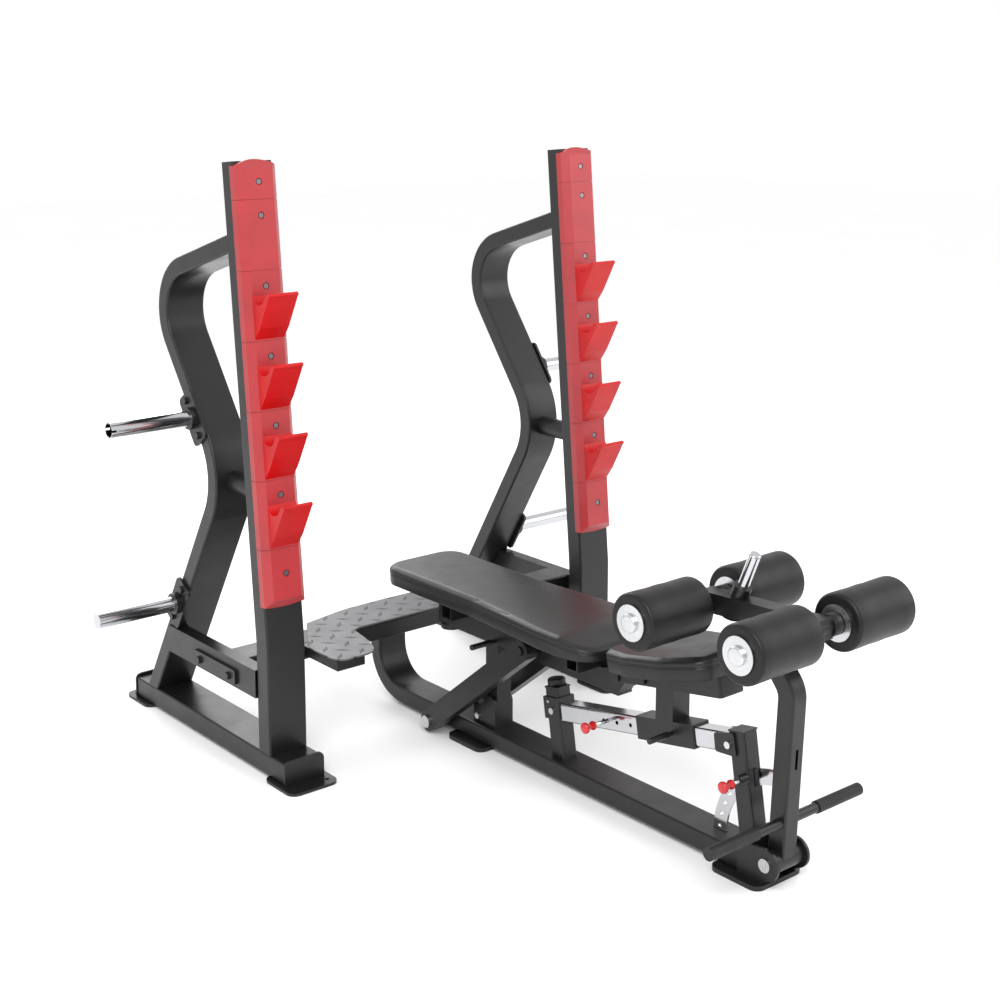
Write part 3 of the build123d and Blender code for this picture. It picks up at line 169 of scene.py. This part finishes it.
class Paint:
    """Builds the node material of a finish."""

    COARSE_SHARE = 0.65
    FINEST_MM = 0.8
    TONE_SPAN = (0.32, 0.68)
    COAT_ROUGHNESS = 0.18
    GLOSS_SPREAD = 0.12
    BUMP_STRENGTH = 0.7
    DRAWN_STRETCH = 0.15
    WAVE_PERIOD = 3.2
    LOZENGE_LONG = 2.1
    LOZENGE_THIN = 7.5
    LOZENGE_EDGE = (0.75, 1.05)

    def __init__(self, finish: Finish) -> None:
        """Creates the material and all its nodes."""
        self.finish = finish
        self.material = bpy.data.materials.new(finish.name)
        self.material.use_nodes = True
        self.tree = self.material.node_tree
        self.shader = self.tree.nodes["Principled BSDF"]
        self.place = self.add("ShaderNodeTexCoord").outputs["Object"]
        self._colour()
        self._gloss()
        if finish.surface is not Surface.PLAIN:
            self._relief()

    def add(self, kind: str, settings: dict | None = None, links: dict | None = None) -> bpy.types.Node:
        """Adds one node.

        Args:
            kind: Node type.
            settings: Node attributes, or input names and indexes with their values.
            links: Input names or indexes and the sockets that feed them.

        Returns:
            The new node.
        """
        node = self.tree.nodes.new(kind)
        for key, value in (settings or {}).items():
            if isinstance(key, str) and hasattr(node, key):
                setattr(node, key, value)
            else:
                node.inputs[key].default_value = value
        for key, socket in (links or {}).items():
            self.tree.links.new(socket, node.inputs[key])
        return node

    def maths(self, operation: str, *values: object) -> bpy.types.NodeSocket:
        """Adds a Math node whose inputs are sockets or numbers, and returns its output."""
        socket = bpy.types.NodeSocket
        links = {index: value for index, value in enumerate(values) if isinstance(value, socket)}
        numbers = {index: value for index, value in enumerate(values) if index not in links}
        return self.add("ShaderNodeMath", {"operation": operation, **numbers}, links).outputs[0]

    def noise(self, size_mm: float, detail: float = 3.0) -> bpy.types.NodeSocket:
        """Noise of the given grain size, as a value socket."""
        settings = {"Scale": per_mm(size_mm), "Detail": detail}
        return self.add("ShaderNodeTexNoise", settings, {"Vector": self.place}).outputs["Fac"]

    def _colour(self) -> None:
        """Slight uneven tone over the whole surface, with finer flecks, and painted shade on the lozenges of
        checker plate.
        """
        finish = self.finish
        coarse = self.noise(finish.patch_mm, 4.0)
        fine = self.noise(max(finish.grain_mm, self.FINEST_MM) * 3, 2.0)
        coarse_part = self.maths("MULTIPLY", coarse, self.COARSE_SHARE)
        fine_part = self.maths("MULTIPLY", fine, 1 - self.COARSE_SHARE)
        tone = self.maths("ADD", coarse_part, fine_part)
        ramp = self.add("ShaderNodeValToRGB", {}, {"Fac": tone})
        for element, position, sign in zip(ramp.color_ramp.elements, self.TONE_SPAN, (-1, 1)):
            element.position = position
            element.color = linear(finish.colour, 1 + sign * finish.mottle)
        colour = ramp.outputs["Color"]
        # Checker plate: paints the lozenges darker as painted shade.
        if finish.surface is Surface.TREAD:
            lozenge_shade_mix = self.add("ShaderNodeMix", {"data_type": "RGBA", "blend_type": "MIX"})
            self.tree.links.new(self._lozenges(finish.grain_mm), lozenge_shade_mix.inputs[0])
            self.tree.links.new(colour, lozenge_shade_mix.inputs[6])
            lozenge_shade_mix.inputs[7].default_value = linear(LOZENGE_PAINTED_SHADE)
            colour = lozenge_shade_mix.outputs[2]
        self.tree.links.new(colour, self.shader.inputs["Base Color"])
        self.shader.inputs["Metallic"].default_value = finish.metallic
        self.shader.inputs["Coat Weight"].default_value = finish.coat
        self.shader.inputs["Coat Roughness"].default_value = self.COAT_ROUGHNESS
        self.shader.inputs["Specular IOR Level"].default_value = finish.specular

    def _gloss(self) -> None:
        """Roughness that varies with handling marks and dust."""
        marks = self.noise(self.finish.patch_mm * 0.6, 6.0)
        spread = self.finish.roughness * self.GLOSS_SPREAD
        low = self.finish.roughness - spread
        span = self.add(
            "ShaderNodeMapRange",
            {"From Min": 0.3, "From Max": 0.7, "To Min": low, "To Max": low + 2 * spread},
            {"Value": marks},
        )
        self.tree.links.new(span.outputs["Result"], self.shader.inputs["Roughness"])

    def _height(self) -> bpy.types.NodeSocket:
        """Height field of the finish's relief."""
        surface = self.finish.surface
        grain = self.finish.grain_mm
        if surface is Surface.TREAD:
            return self._lozenges(grain)
        if surface is Surface.RIBBED:
            settings = {"bands_direction": "X", "Scale": per_mm(grain) / self.WAVE_PERIOD}
            return self.add("ShaderNodeTexWave", settings, {"Vector": self.place}).outputs["Fac"]
        if surface in (Surface.VINYL, Surface.FOAM):
            cells = self.add(
                "ShaderNodeTexVoronoi",
                {"Scale": per_mm(grain), "feature": "SMOOTH_F1"},
                {"Vector": self.place},
            )
            return self._weighed(cells.outputs["Distance"], self.noise(grain * 4), 1.0, 0.8)
        if surface in (Surface.POLISHED, Surface.ZINC):
            stretch = (self.DRAWN_STRETCH, 1.0, 1.0)
            drawn = self.add("ShaderNodeMapping", {"Scale": stretch}, {"Vector": self.place})
            settings = {"Scale": per_mm(grain), "Detail": 2.0}
            return self.add("ShaderNodeTexNoise", settings, {"Vector": drawn.outputs[0]}).outputs["Fac"]
        return self.noise(grain, 2.0)

    def _lozenges(self, pitch_mm: float) -> bpy.types.NodeSocket:
        """Raised lozenges that alternate in direction, as on checker plate."""
        turned = self.add(
            "ShaderNodeMapping",
            {"Rotation": (0, 0, math.radians(45)), "Scale": (per_mm(pitch_mm),) * 3},
            {"Vector": self.place},
        )
        parts = self.add("ShaderNodeSeparateXYZ", {}, {0: turned.outputs[0]})
        across, along = parts.outputs["X"], parts.outputs["Y"]
        cell = self.maths("ADD", self.maths("FLOOR", across), self.maths("FLOOR", along))
        odd = self.maths("PINGPONG", cell, 1.0)
        side = self.maths("ABSOLUTE", self.maths("SUBTRACT", self.maths("FRACT", across), 0.5))
        length = self.maths("ABSOLUTE", self.maths("SUBTRACT", self.maths("FRACT", along), 0.5))
        even = self.maths("SUBTRACT", 1.0, odd)
        first = self._weighed(side, length, self.LOZENGE_LONG, self.LOZENGE_THIN)
        second = self._weighed(side, length, self.LOZENGE_THIN, self.LOZENGE_LONG)
        mixed = self.maths("ADD", self.maths("MULTIPLY", first, odd), self.maths("MULTIPLY", second, even))
        low, high = self.LOZENGE_EDGE
        edge = {"From Min": low, "From Max": high, "To Min": 1.0, "To Max": 0.0}
        return self.add("ShaderNodeMapRange", edge, {"Value": mixed}).outputs["Result"]

    def _weighed(
        self, first: bpy.types.NodeSocket, second: bpy.types.NodeSocket, one: float, other: float
    ) -> bpy.types.NodeSocket:
        """Sum of two sockets, each times its own factor."""
        return self.maths("ADD", self.maths("MULTIPLY", first, one), self.maths("MULTIPLY", second, other))

    def _relief(self) -> None:
        """Bump in real millimetres."""
        bump = self.add(
            "ShaderNodeBump",
            {"Strength": self.BUMP_STRENGTH, "Distance": self.finish.relief_mm * MM},
            {"Height": self._height()},
        )
        self.tree.links.new(bump.outputs["Normal"], self.shader.inputs["Normal"])


def spun(
    profile: list[tuple[float, float]],
    centre: Vector,
    axis: Vector,
    outward: Vector,
    steps: int,
    closed: bool,
) -> bmesh.types.BMesh:
    """Spins a profile about an axis into a closed shape.

    Args:
        profile: Distances along the axis and out from it, in metres.
        centre: Point on the axis that the distances along it start from.
        axis: Direction of the axis.
        outward: Direction in which the profile is drawn.
        steps: Number of columns of faces.
        closed: True for a ring with a hole, False for a shape with poles on the axis.

    Returns:
        The spun mesh.
    """
    shape = bmesh.new()
    verts = [shape.verts.new(centre + axis * along + outward * out) for along, out in profile]
    ends = verts[1:] + verts[:1] if closed else verts[1:]
    edges = [shape.edges.new(pair) for pair in zip(verts, ends)]
    bmesh.ops.spin(
        shape, geom=verts + edges, cent=centre, axis=axis, angle=math.tau, steps=steps, use_merge=True
    )
    if not closed:
        bmesh.ops.remove_doubles(shape, verts=shape.verts, dist=1e-6)
    return shape


class Workshop:
    """Keeps one material per finish and turns bmeshes into finished pieces."""

    def __init__(self) -> None:
        """Starts with no materials."""
        self.materials: dict[Finish, bpy.types.Material] = {}

    def material(self, finish: Finish) -> bpy.types.Material:
        """Material of a finish, made once."""
        if finish not in self.materials:
            self.materials[finish] = Paint(finish).material
        return self.materials[finish]

    def dress(self, node: str, finish: Finish) -> None:
        """Gives a node of the frame its finish."""
        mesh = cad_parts[node].data
        mesh.materials.clear()
        mesh.materials.append(self.material(finish))

    def piece(self, name: str, shape: bmesh.types.BMesh, finish: Finish) -> bpy.types.Object:
        """Turns a bmesh into a smooth-shaded piece.

        Args:
            name: Name of the piece.
            shape: Its mesh, in metres in the shared frame. It is freed.
            finish: Its finish.

        Returns:
            The new object, at the origin.
        """
        bmesh.ops.recalc_face_normals(shape, faces=shape.faces)
        for face in shape.faces:
            face.smooth = True
        mesh = bpy.data.meshes.new(name)
        shape.to_mesh(mesh)
        shape.free()
        mesh.materials.append(self.material(finish))
        made = bpy.data.objects.new(name, mesh)
        bpy.context.scene.collection.objects.link(made)
        return made


def carry_top(shape: bmesh.types.BMesh, inset_mm: float, rise_mm: float) -> None:
    """Carries the top face in by one distance and up by another."""
    top = max(shape.faces, key=lambda face: face.calc_center_median().z)
    bmesh.ops.inset_region(
        shape,
        faces=[top],
        thickness=inset_mm * MM,
        depth=rise_mm * MM,
        use_even_offset=True,
        use_boundary=True,
    )


# Insets and rises, in millimetres, that pull the cover in at the seam and out into its piping.
SEAM_STEPS = ((0.8, 3.0), (1.6, 1.2), (-2.2, 0.6), (-1.4, 1.2), (0.6, 1.4), (1.2, 0.8), (-1.6, 1.6))
RIM_STEPS = 6


@dataclass
class Cushion:
    """Upholstered pad: flat board side below, seam, soft rim and crowned top.

    The outline lies in the pad's own plane, x to the side and y forward or rearward.
    """

    name: str
    node: str
    body: str
    corners: list[tuple[float, float, float]]
    thick_mm: float
    place: Matrix
    crown_mm: float = 7.0
    rim_mm: float = 17.0
    seam_from_top_mm: float = 20.0
    grid_mm: float = 24.0
    slope_from_mm: float | None = None
    slope_to_mm: float = 0.0
    slope_drop_mm: float = 0.0
    board_mm: float = 3.0
    base_roll: tuple[float, float] = (-1.6, 5.0)
    base_to_seam_mm: float = 13.0
    rim_lift_mm: float = 4.5

    def _top(self, shape: bmesh.types.BMesh) -> float:
        """Height of the highest point, in millimetres."""
        return max(vert.co.z for vert in shape.verts) / MM

    def _outline(self) -> bmesh.types.BMesh:
        """Flat face with every corner rounded by its own radius."""
        shape = bmesh.new()
        verts = [shape.verts.new((x * MM, y * MM, 0)) for x, y, _ in self.corners]
        shape.faces.new(verts)
        for vert, (_, _, radius) in zip(verts, self.corners):
            before, after = (edge.other_vert(vert).co - vert.co for edge in vert.link_edges)
            reach = radius * MM / math.tan(before.angle(after) / 2)
            bmesh.ops.bevel(
                shape,
                geom=[vert],
                offset=min(reach, before.length * 0.49, after.length * 0.49),
                offset_type="OFFSET",
                segments=9,
                profile=0.5,
                affect="VERTICES",
                material=-1,
            )
        return shape

    def _grid(self, shape: bmesh.types.BMesh) -> None:
        """Cuts the pad along its length and width, so that its top can be crowned."""
        ys = [vert.co.y for vert in shape.verts]
        xs = [vert.co.x for vert in shape.verts]
        lengthwise = (min(ys), max(ys), Vector((0, 1, 0)))
        crosswise = (min(xs), max(xs), SIDEWAYS)
        for low, high, normal in (lengthwise, crosswise):
            count = int((high - low) / (self.grid_mm * MM))
            for index in range(1, count):
                at = low + (high - low) * index / count
                geometry = shape.verts[:] + shape.edges[:] + shape.faces[:]
                bmesh.ops.bisect_plane(shape, geom=geometry, plane_co=normal * at, plane_no=normal)

    def _crown(self, shape: bmesh.types.BMesh) -> None:
        """Raises the middle of the top."""
        half_x = max(abs(vert.co.x) for vert in shape.verts)
        low_y = min(vert.co.y for vert in shape.verts)
        high_y = max(vert.co.y for vert in shape.verts)
        top = (self.thick_mm - self.crown_mm) * MM
        for vert in shape.verts:
            if vert.co.z < top - 0.5 * MM:
                continue
            across = min(abs(vert.co.x) / half_x, 1.0)
            ends = abs(2 * (vert.co.y - low_y) / (high_y - low_y) - 1)
            vert.co.z += self.crown_mm * MM * (1 - across**2.4) * (1 - ends**8)

    def _slope(self, shape: bmesh.types.BMesh) -> None:
        """Thins the pad towards one end."""
        if self.slope_from_mm is None:
            return
        for vert in shape.verts:
            share = (vert.co.y / MM - self.slope_from_mm) / (self.slope_to_mm - self.slope_from_mm)
            share = min(max(share, 0.0), 1.0)
            keep = 1 - share * self.slope_drop_mm / self.thick_mm
            vert.co.z *= keep

    def build(self, shop: Workshop) -> bpy.types.Object:
        """Makes the cushion and puts it in place of its plain solid.

        Args:
            shop: Maker of pieces and materials.

        Returns:
            The cushion.
        """
        shape = self._outline()
        lid = bmesh.ops.extrude_face_region(shape, geom=shape.faces[:], use_keep_orig=True)
        for vert in (item for item in lid["geom"] if isinstance(item, bmesh.types.BMVert)):
            vert.co.z += self.board_mm * MM
        bmesh.ops.recalc_face_normals(shape, faces=shape.faces)
        body = self.thick_mm - self.crown_mm
        carry_top(shape, *self.base_roll)
        carry_top(shape, -0.4, body - self.seam_from_top_mm - self.base_to_seam_mm)
        for inset, rise in SEAM_STEPS:
            carry_top(shape, inset, rise)
        height = body - self.rim_mm + self.rim_lift_mm
        carry_top(shape, -0.2, max(height - self._top(shape), 0.5))
        left = body - self._top(shape)
        share = 90 / RIM_STEPS
        for index in range(1, RIM_STEPS + 1):
            turn = math.radians(share * index)
            last = math.radians(share * (index - 1))
            rise = left * (math.sin(turn) - math.sin(last))
            inset = self.rim_mm * (math.cos(last) - math.cos(turn))
            carry_top(shape, inset, rise)
        self._grid(shape)
        self._crown(shape)
        self._slope(shape)
        bmesh.ops.triangulate(shape, faces=[face for face in shape.faces if len(face.verts) > 4])
        bmesh.ops.transform(shape, matrix=self.place, verts=shape.verts)
        made = shop.piece(self.name, shape, VINYL)
        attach(made, self.body)
        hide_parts(self.node)
        return made


@dataclass
class FoamRoller:
    """Thick foam sleeve with rounded ends and slightly dished faces."""

    node: str
    body: str
    bore_mm: float = 21.3
    end_mm: float = 9.0
    dish_mm: float = 3.0
    waist_mm: float = 0.6
    face_share: float = 0.55
    columns: int = 64

    def build(self, shop: Workshop) -> bpy.types.Object:
        """Spins the sleeve about its axle and puts it in place of its plain solid.

        Args:
            shop: Maker of pieces and materials.

        Returns:
            The roller.
        """
        low, high = (Vector(corner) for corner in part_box(self.node))
        centre = (low + high) / 2
        radius = (high.z - low.z) / 2
        half = (high.x - low.x) / 2
        end = self.end_mm * MM
        waist = self.waist_mm * MM
        profile = [
            (-half + self.dish_mm * MM, self.bore_mm * MM),
            (-half, radius * self.face_share),
            (-half, radius - end),
        ]
        for index in range(1, 6):
            turn = math.radians(18 * index)
            profile.append((-half + end * (1 - math.cos(turn)), radius - end + end * math.sin(turn)))
        profile += [(x * half, radius - waist * (1 - math.cos(x * 9))) for x in (-0.6, -0.3, 0.0)]
        profile += [(-x, r) for x, r in reversed(profile[:-1])]
        shape = spun(profile, centre, SIDEWAYS, UPWARD, self.columns, closed=True)
        made = shop.piece(f"{self.node}_foam", shape, FOAM)
        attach(made, self.body)
        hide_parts(self.node)
        return made


@dataclass
class Plug:
    """Moulded plug pressed into the open end of a tube: flange with a pillowed face."""

    name: str
    body: str
    place: Matrix
    wide_mm: float
    tall_mm: float
    flange_mm: float = 4.0
    pillow_mm: float = 2.0
    corner_mm: float = 5.0

    def build(self, shop: Workshop) -> bpy.types.Object:
        """Makes the plug, facing along its place's own z.

        Args:
            shop: Maker of pieces and materials.

        Returns:
            The plug.
        """
        shape = bmesh.new()
        size = Vector((self.wide_mm, self.tall_mm, self.flange_mm)) * MM
        bmesh.ops.create_cube(shape, size=1.0, matrix=Matrix.Diagonal((*size, 1.0)))
        upright = [edge for edge in shape.edges if abs(edge.verts[0].co.z - edge.verts[1].co.z) > MM]
        bmesh.ops.bevel(
            shape,
            geom=upright,
            offset=self.corner_mm * MM,
            segments=5,
            profile=0.5,
            affect="EDGES",
            material=-1,
        )
        for inset, rise in ((1.0, 0.6 * self.pillow_mm), (3.0, 0.4 * self.pillow_mm)):
            carry_top(shape, inset, rise)
        bmesh.ops.transform(shape, matrix=self.place, verts=shape.verts)
        made = shop.piece(self.name, shape, PLUG_BLACK)
        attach(made, self.body)
        return made


@dataclass
class PostCap:
    """Round grip cap with ribs on top of the leaning guide post."""

    name: str = "guide_post_cap"
    lean_deg: float = 9.1
    top_mm: tuple[float, float] = (-467.5, 253.0)
    radius_mm: float = 24.0
    tall_mm: float = 22.0
    rib_mm: float = 1.2
    columns: int = 48

    def build(self, shop: Workshop) -> bpy.types.Object:
        """Spins the cap, raises its ribs and stands it on the post.

        Args:
            shop: Maker of pieces and materials.

        Returns:
            The cap.
        """
        radius, tall = self.radius_mm, self.tall_mm
        profile = [(0.0, 0.0), (0.0, radius), (tall - 4, radius)]
        profile += [(tall - 1.5, radius - 1), (tall, radius - 4), (tall, 0.0)]
        profile = [(along * MM, out * MM) for along, out in profile]
        shape = spun(profile, Vector(), UPWARD, SIDEWAYS, self.columns, closed=False)
        for vert in shape.verts:
            column = round(math.atan2(vert.co.y, vert.co.x) / math.tau * self.columns)
            reach = Vector(vert.co.xy)
            if column % 4 < 2 and reach.length > (radius - 0.5) * MM:
                vert.co.xy = reach * (1 + self.rib_mm / radius)
        place = Matrix.Translation(Vector((0, self.top_mm[0] + SHIFT_Y_MM, self.top_mm[1])) * MM)
        place = place @ Matrix.Rotation(-math.radians(self.lean_deg), 4, "X")
        bmesh.ops.transform(shape, matrix=place, verts=shape.verts)
        made = shop.piece(self.name, shape, PLUG_BLACK)
        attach(made, "base")
        return made


@dataclass
class Upholstery:
    """Seat and back cushions with their places on the frame."""

    seat_rise_deg: float = 9.8
    seat_rear: tuple[float, float] = (-788.0, 364.0)
    seat_tube_tall_mm: float = 55.0
    seat_tube_long_mm: float = 314.7
    back_bottom_mm: float = 421.0

    def seat_place(self) -> Matrix:
        """Plane of the seat in the shared frame, y pointing forward up its rise."""
        rise = math.radians(self.seat_rise_deg)
        origin = Vector(
            (
                0,
                self.seat_rear[0] + self.seat_tube_tall_mm * math.sin(rise) - 10 + SHIFT_Y_MM,
                self.seat_rear[1] + self.seat_tube_tall_mm * math.cos(rise) + 10 * math.tan(rise),
            )
        )
        cosine, sine = math.cos(rise), math.sin(rise)
        axes = Matrix(((-1, 0, 0), (0, -cosine, sine), (0, sine, cosine)))
        return Matrix.Translation(origin * MM) @ axes.to_4x4()

    def tube_plug(self) -> Plug:
        """Plug in the front end of the tube under the seat."""
        rise = math.radians(self.seat_rise_deg)
        ahead = Vector((0, -math.cos(rise), math.sin(rise)))
        upward = Vector((0, math.sin(rise), math.cos(rise)))
        rear = Vector((0, self.seat_rear[0] + SHIFT_Y_MM, self.seat_rear[1]))
        middle = rear + ahead * (self.seat_tube_long_mm + 1.5) + upward * self.seat_tube_tall_mm / 2
        side = Vector((1, 0, 0))
        axes = Matrix((side, upward, ahead)).transposed()
        place = Matrix.Translation(middle * MM) @ axes.to_4x4()
        return Plug("seat_tube_plug", "carriage", place, 80.0, self.seat_tube_tall_mm)

    def cushions(self) -> list[Cushion]:
        """Both cushions, ready to build."""
        seat = [(128, 0, 38), (150, 100, 70), (140, 210, 70), (92, 316, 42)]
        back = [(131, 163, 62), (131, -260, 300), (158, -567, 120), (158, -640, 60), (136, -735, 66)]
        seat_loop = seat + [(-x, y, r) for x, y, r in reversed(seat)]
        back_loop = back + [(-x, y, r) for x, y, r in reversed(back)]
        back_place = Matrix.Translation(Vector((0, SHIFT_Y_MM, self.back_bottom_mm)) * MM)
        return [
            Cushion("seat_cushion", "seat_pad", "carriage", seat_loop, 60.0, self.seat_place()),
            Cushion(
                "back_cushion",
                "back_pad",
                "backrest",
                back_loop,
                58.0,
                back_place,
                slope_from_mm=-640.0,
                slope_to_mm=-735.0,
                slope_drop_mm=22.0,
            ),
        ]

    def build(self, shop: Workshop) -> list[bpy.types.Object]:
        """Builds both cushions."""
        return [cushion.build(shop) for cushion in self.cushions()] + [self.tube_plug().build(shop)]


@dataclass
class Rollers:
    """The leg hold's four foam rollers."""

    rows: tuple[str, ...] = ("rear", "front")
    sides: tuple[str, ...] = ("left", "right")

    def build(self, shop: Workshop) -> list[bpy.types.Object]:
        """Builds every roller on its own body."""
        names = [f"{row}_{side}" for row in self.rows for side in self.sides]
        return [FoamRoller(f"foam_roller_{name}", f"roller_{name}").build(shop) for name in names]


@dataclass
class PullPin:
    """Red waisted knob on a bright rod, in place of its plain solid."""

    node: str
    knob_mm: float = 38.0
    rod_mm: float = 5.0
    columns: int = 32

    def build(self, shop: Workshop) -> list[bpy.types.Object]:
        """Spins the rod and the knob about the pin's axis.

        Args:
            shop: Maker of pieces and materials.

        Returns:
            The rod and the knob.
        """
        low, high = (Vector(corner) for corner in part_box(self.node))
        start_point = Vector((low.x, (low.y + high.y) / 2, (low.z + high.z) / 2))
        length = high.x - low.x
        head = (high.z - low.z) / 2
        knob = self.knob_mm * MM
        rod = self.rod_mm * MM
        bevel = 2 * MM
        start = knob - bevel
        rod_profile = [(start, 0.0), (start, rod), (length - bevel, rod)]
        rod_profile += [(length, rod - bevel), (length, 0.0)]
        knob_profile = [
            (0.0, 0.0),
            (0.0, head * 0.72),
            (2.4 * MM, head * 0.93),
            (6 * MM, head * 0.995),
            (11 * MM, head * 0.9),
            (16 * MM, head * 0.6),
            (24 * MM, head * 0.52),
            (29 * MM, head * 0.74),
            (34 * MM, head * 0.8),
            (knob, head * 0.7),
            (knob, 0.0),
        ]
        body = self.node
        made = []
        for name, profile, finish in (("rod", rod_profile, CHROME), ("knob", knob_profile, KNOB_RED)):
            shape = spun(profile, start_point, SIDEWAYS, UPWARD, self.columns, closed=False)
            piece = shop.piece(f"{self.node}_{name}", shape, finish)
            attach(piece, body)
            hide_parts(self.node)
            made.append(piece)
        return made


# Name, place and size in metres, and power in watts, of each soft light.
LAMPS = (
    ("key_light", (-3.2, -3.4, 4.2), 3.0, 190),
    ("fill_light", (4.0, -3.0, 3.0), 3.5, 70),
    ("rim_light", (1.0, 4.5, 3.5), 3.0, 130),
)


@dataclass
class Studio:
    """Pale floor, soft lights and the camera."""

    floor_m: float = 40.0
    eye: tuple[float, float, float] = (-2.8008, -3.2851, 1.8882)
    azimuth_deg: float = 39.737
    pitch_deg: float = -9.571
    lens_mm: float = 58.115
    shift_y: float = -0.15
    aim: tuple[float, float, float] = (0, 0.1, 0.6)

    def _light(self, name: str, place: tuple[float, float, float], size: float, power: float) -> None:
        """Adds a square soft light that points at the middle of the bench."""
        lamp = bpy.data.lights.new(name, "AREA")
        lamp.size = size
        lamp.energy = power
        made = bpy.data.objects.new(name, lamp)
        made.location = place
        aim = Vector(self.aim) - Vector(place)
        made.rotation_euler = aim.to_track_quat("-Z", "Y").to_euler()
        bpy.context.scene.collection.objects.link(made)

    def build(self, shop: Workshop) -> None:
        """Sets the floor, the lights, the sky and the camera."""
        shape = bmesh.new()
        bmesh.ops.create_grid(shape, x_segments=2, y_segments=2, size=self.floor_m / 2)
        floor = shop.piece("floor", shape, FLOOR)
        for lamp in LAMPS:
            self._light(*lamp)
        bpy.context.scene.view_settings.view_transform = "Standard"
        world = bpy.data.worlds.new("studio_sky")
        world.use_nodes = True
        sky = world.node_tree.nodes["Background"]
        sky.inputs["Color"].default_value = linear("#FFFFFF")
        sky.inputs["Strength"].default_value = 1.0
        bpy.context.scene.world = world
        lens = bpy.data.cameras.new("camera")
        lens.sensor_width = 36.0
        lens.lens = self.lens_mm
        lens.shift_y = self.shift_y
        lens.clip_end = 100.0
        camera = bpy.data.objects.new("camera", lens)
        camera.location = self.eye
        camera.rotation_euler = (math.radians(90 + self.pitch_deg), 0, math.radians(-self.azimuth_deg))
        bpy.context.scene.collection.objects.link(camera)
        bpy.context.scene.camera = camera


def main() -> None:
    """Dresses the frame and builds every soft piece and the studio."""
    logging.basicConfig(level=logging.INFO)
    shop = Workshop()
    for finish, nodes in DRESSING.items():
        for node in nodes:
            shop.dress(node, finish)
    pins = [piece for node in ("rail_pin", "ladder_pin") for piece in PullPin(node).build(shop)]
    for piece in Upholstery().build(shop) + Rollers().build(shop) + pins + [PostCap().build(shop)]:
        LOG.info("piece %s with %d faces", piece.name, len(piece.data.polygons))
    Studio().build(shop)


if __name__ == "__main__":
    main()
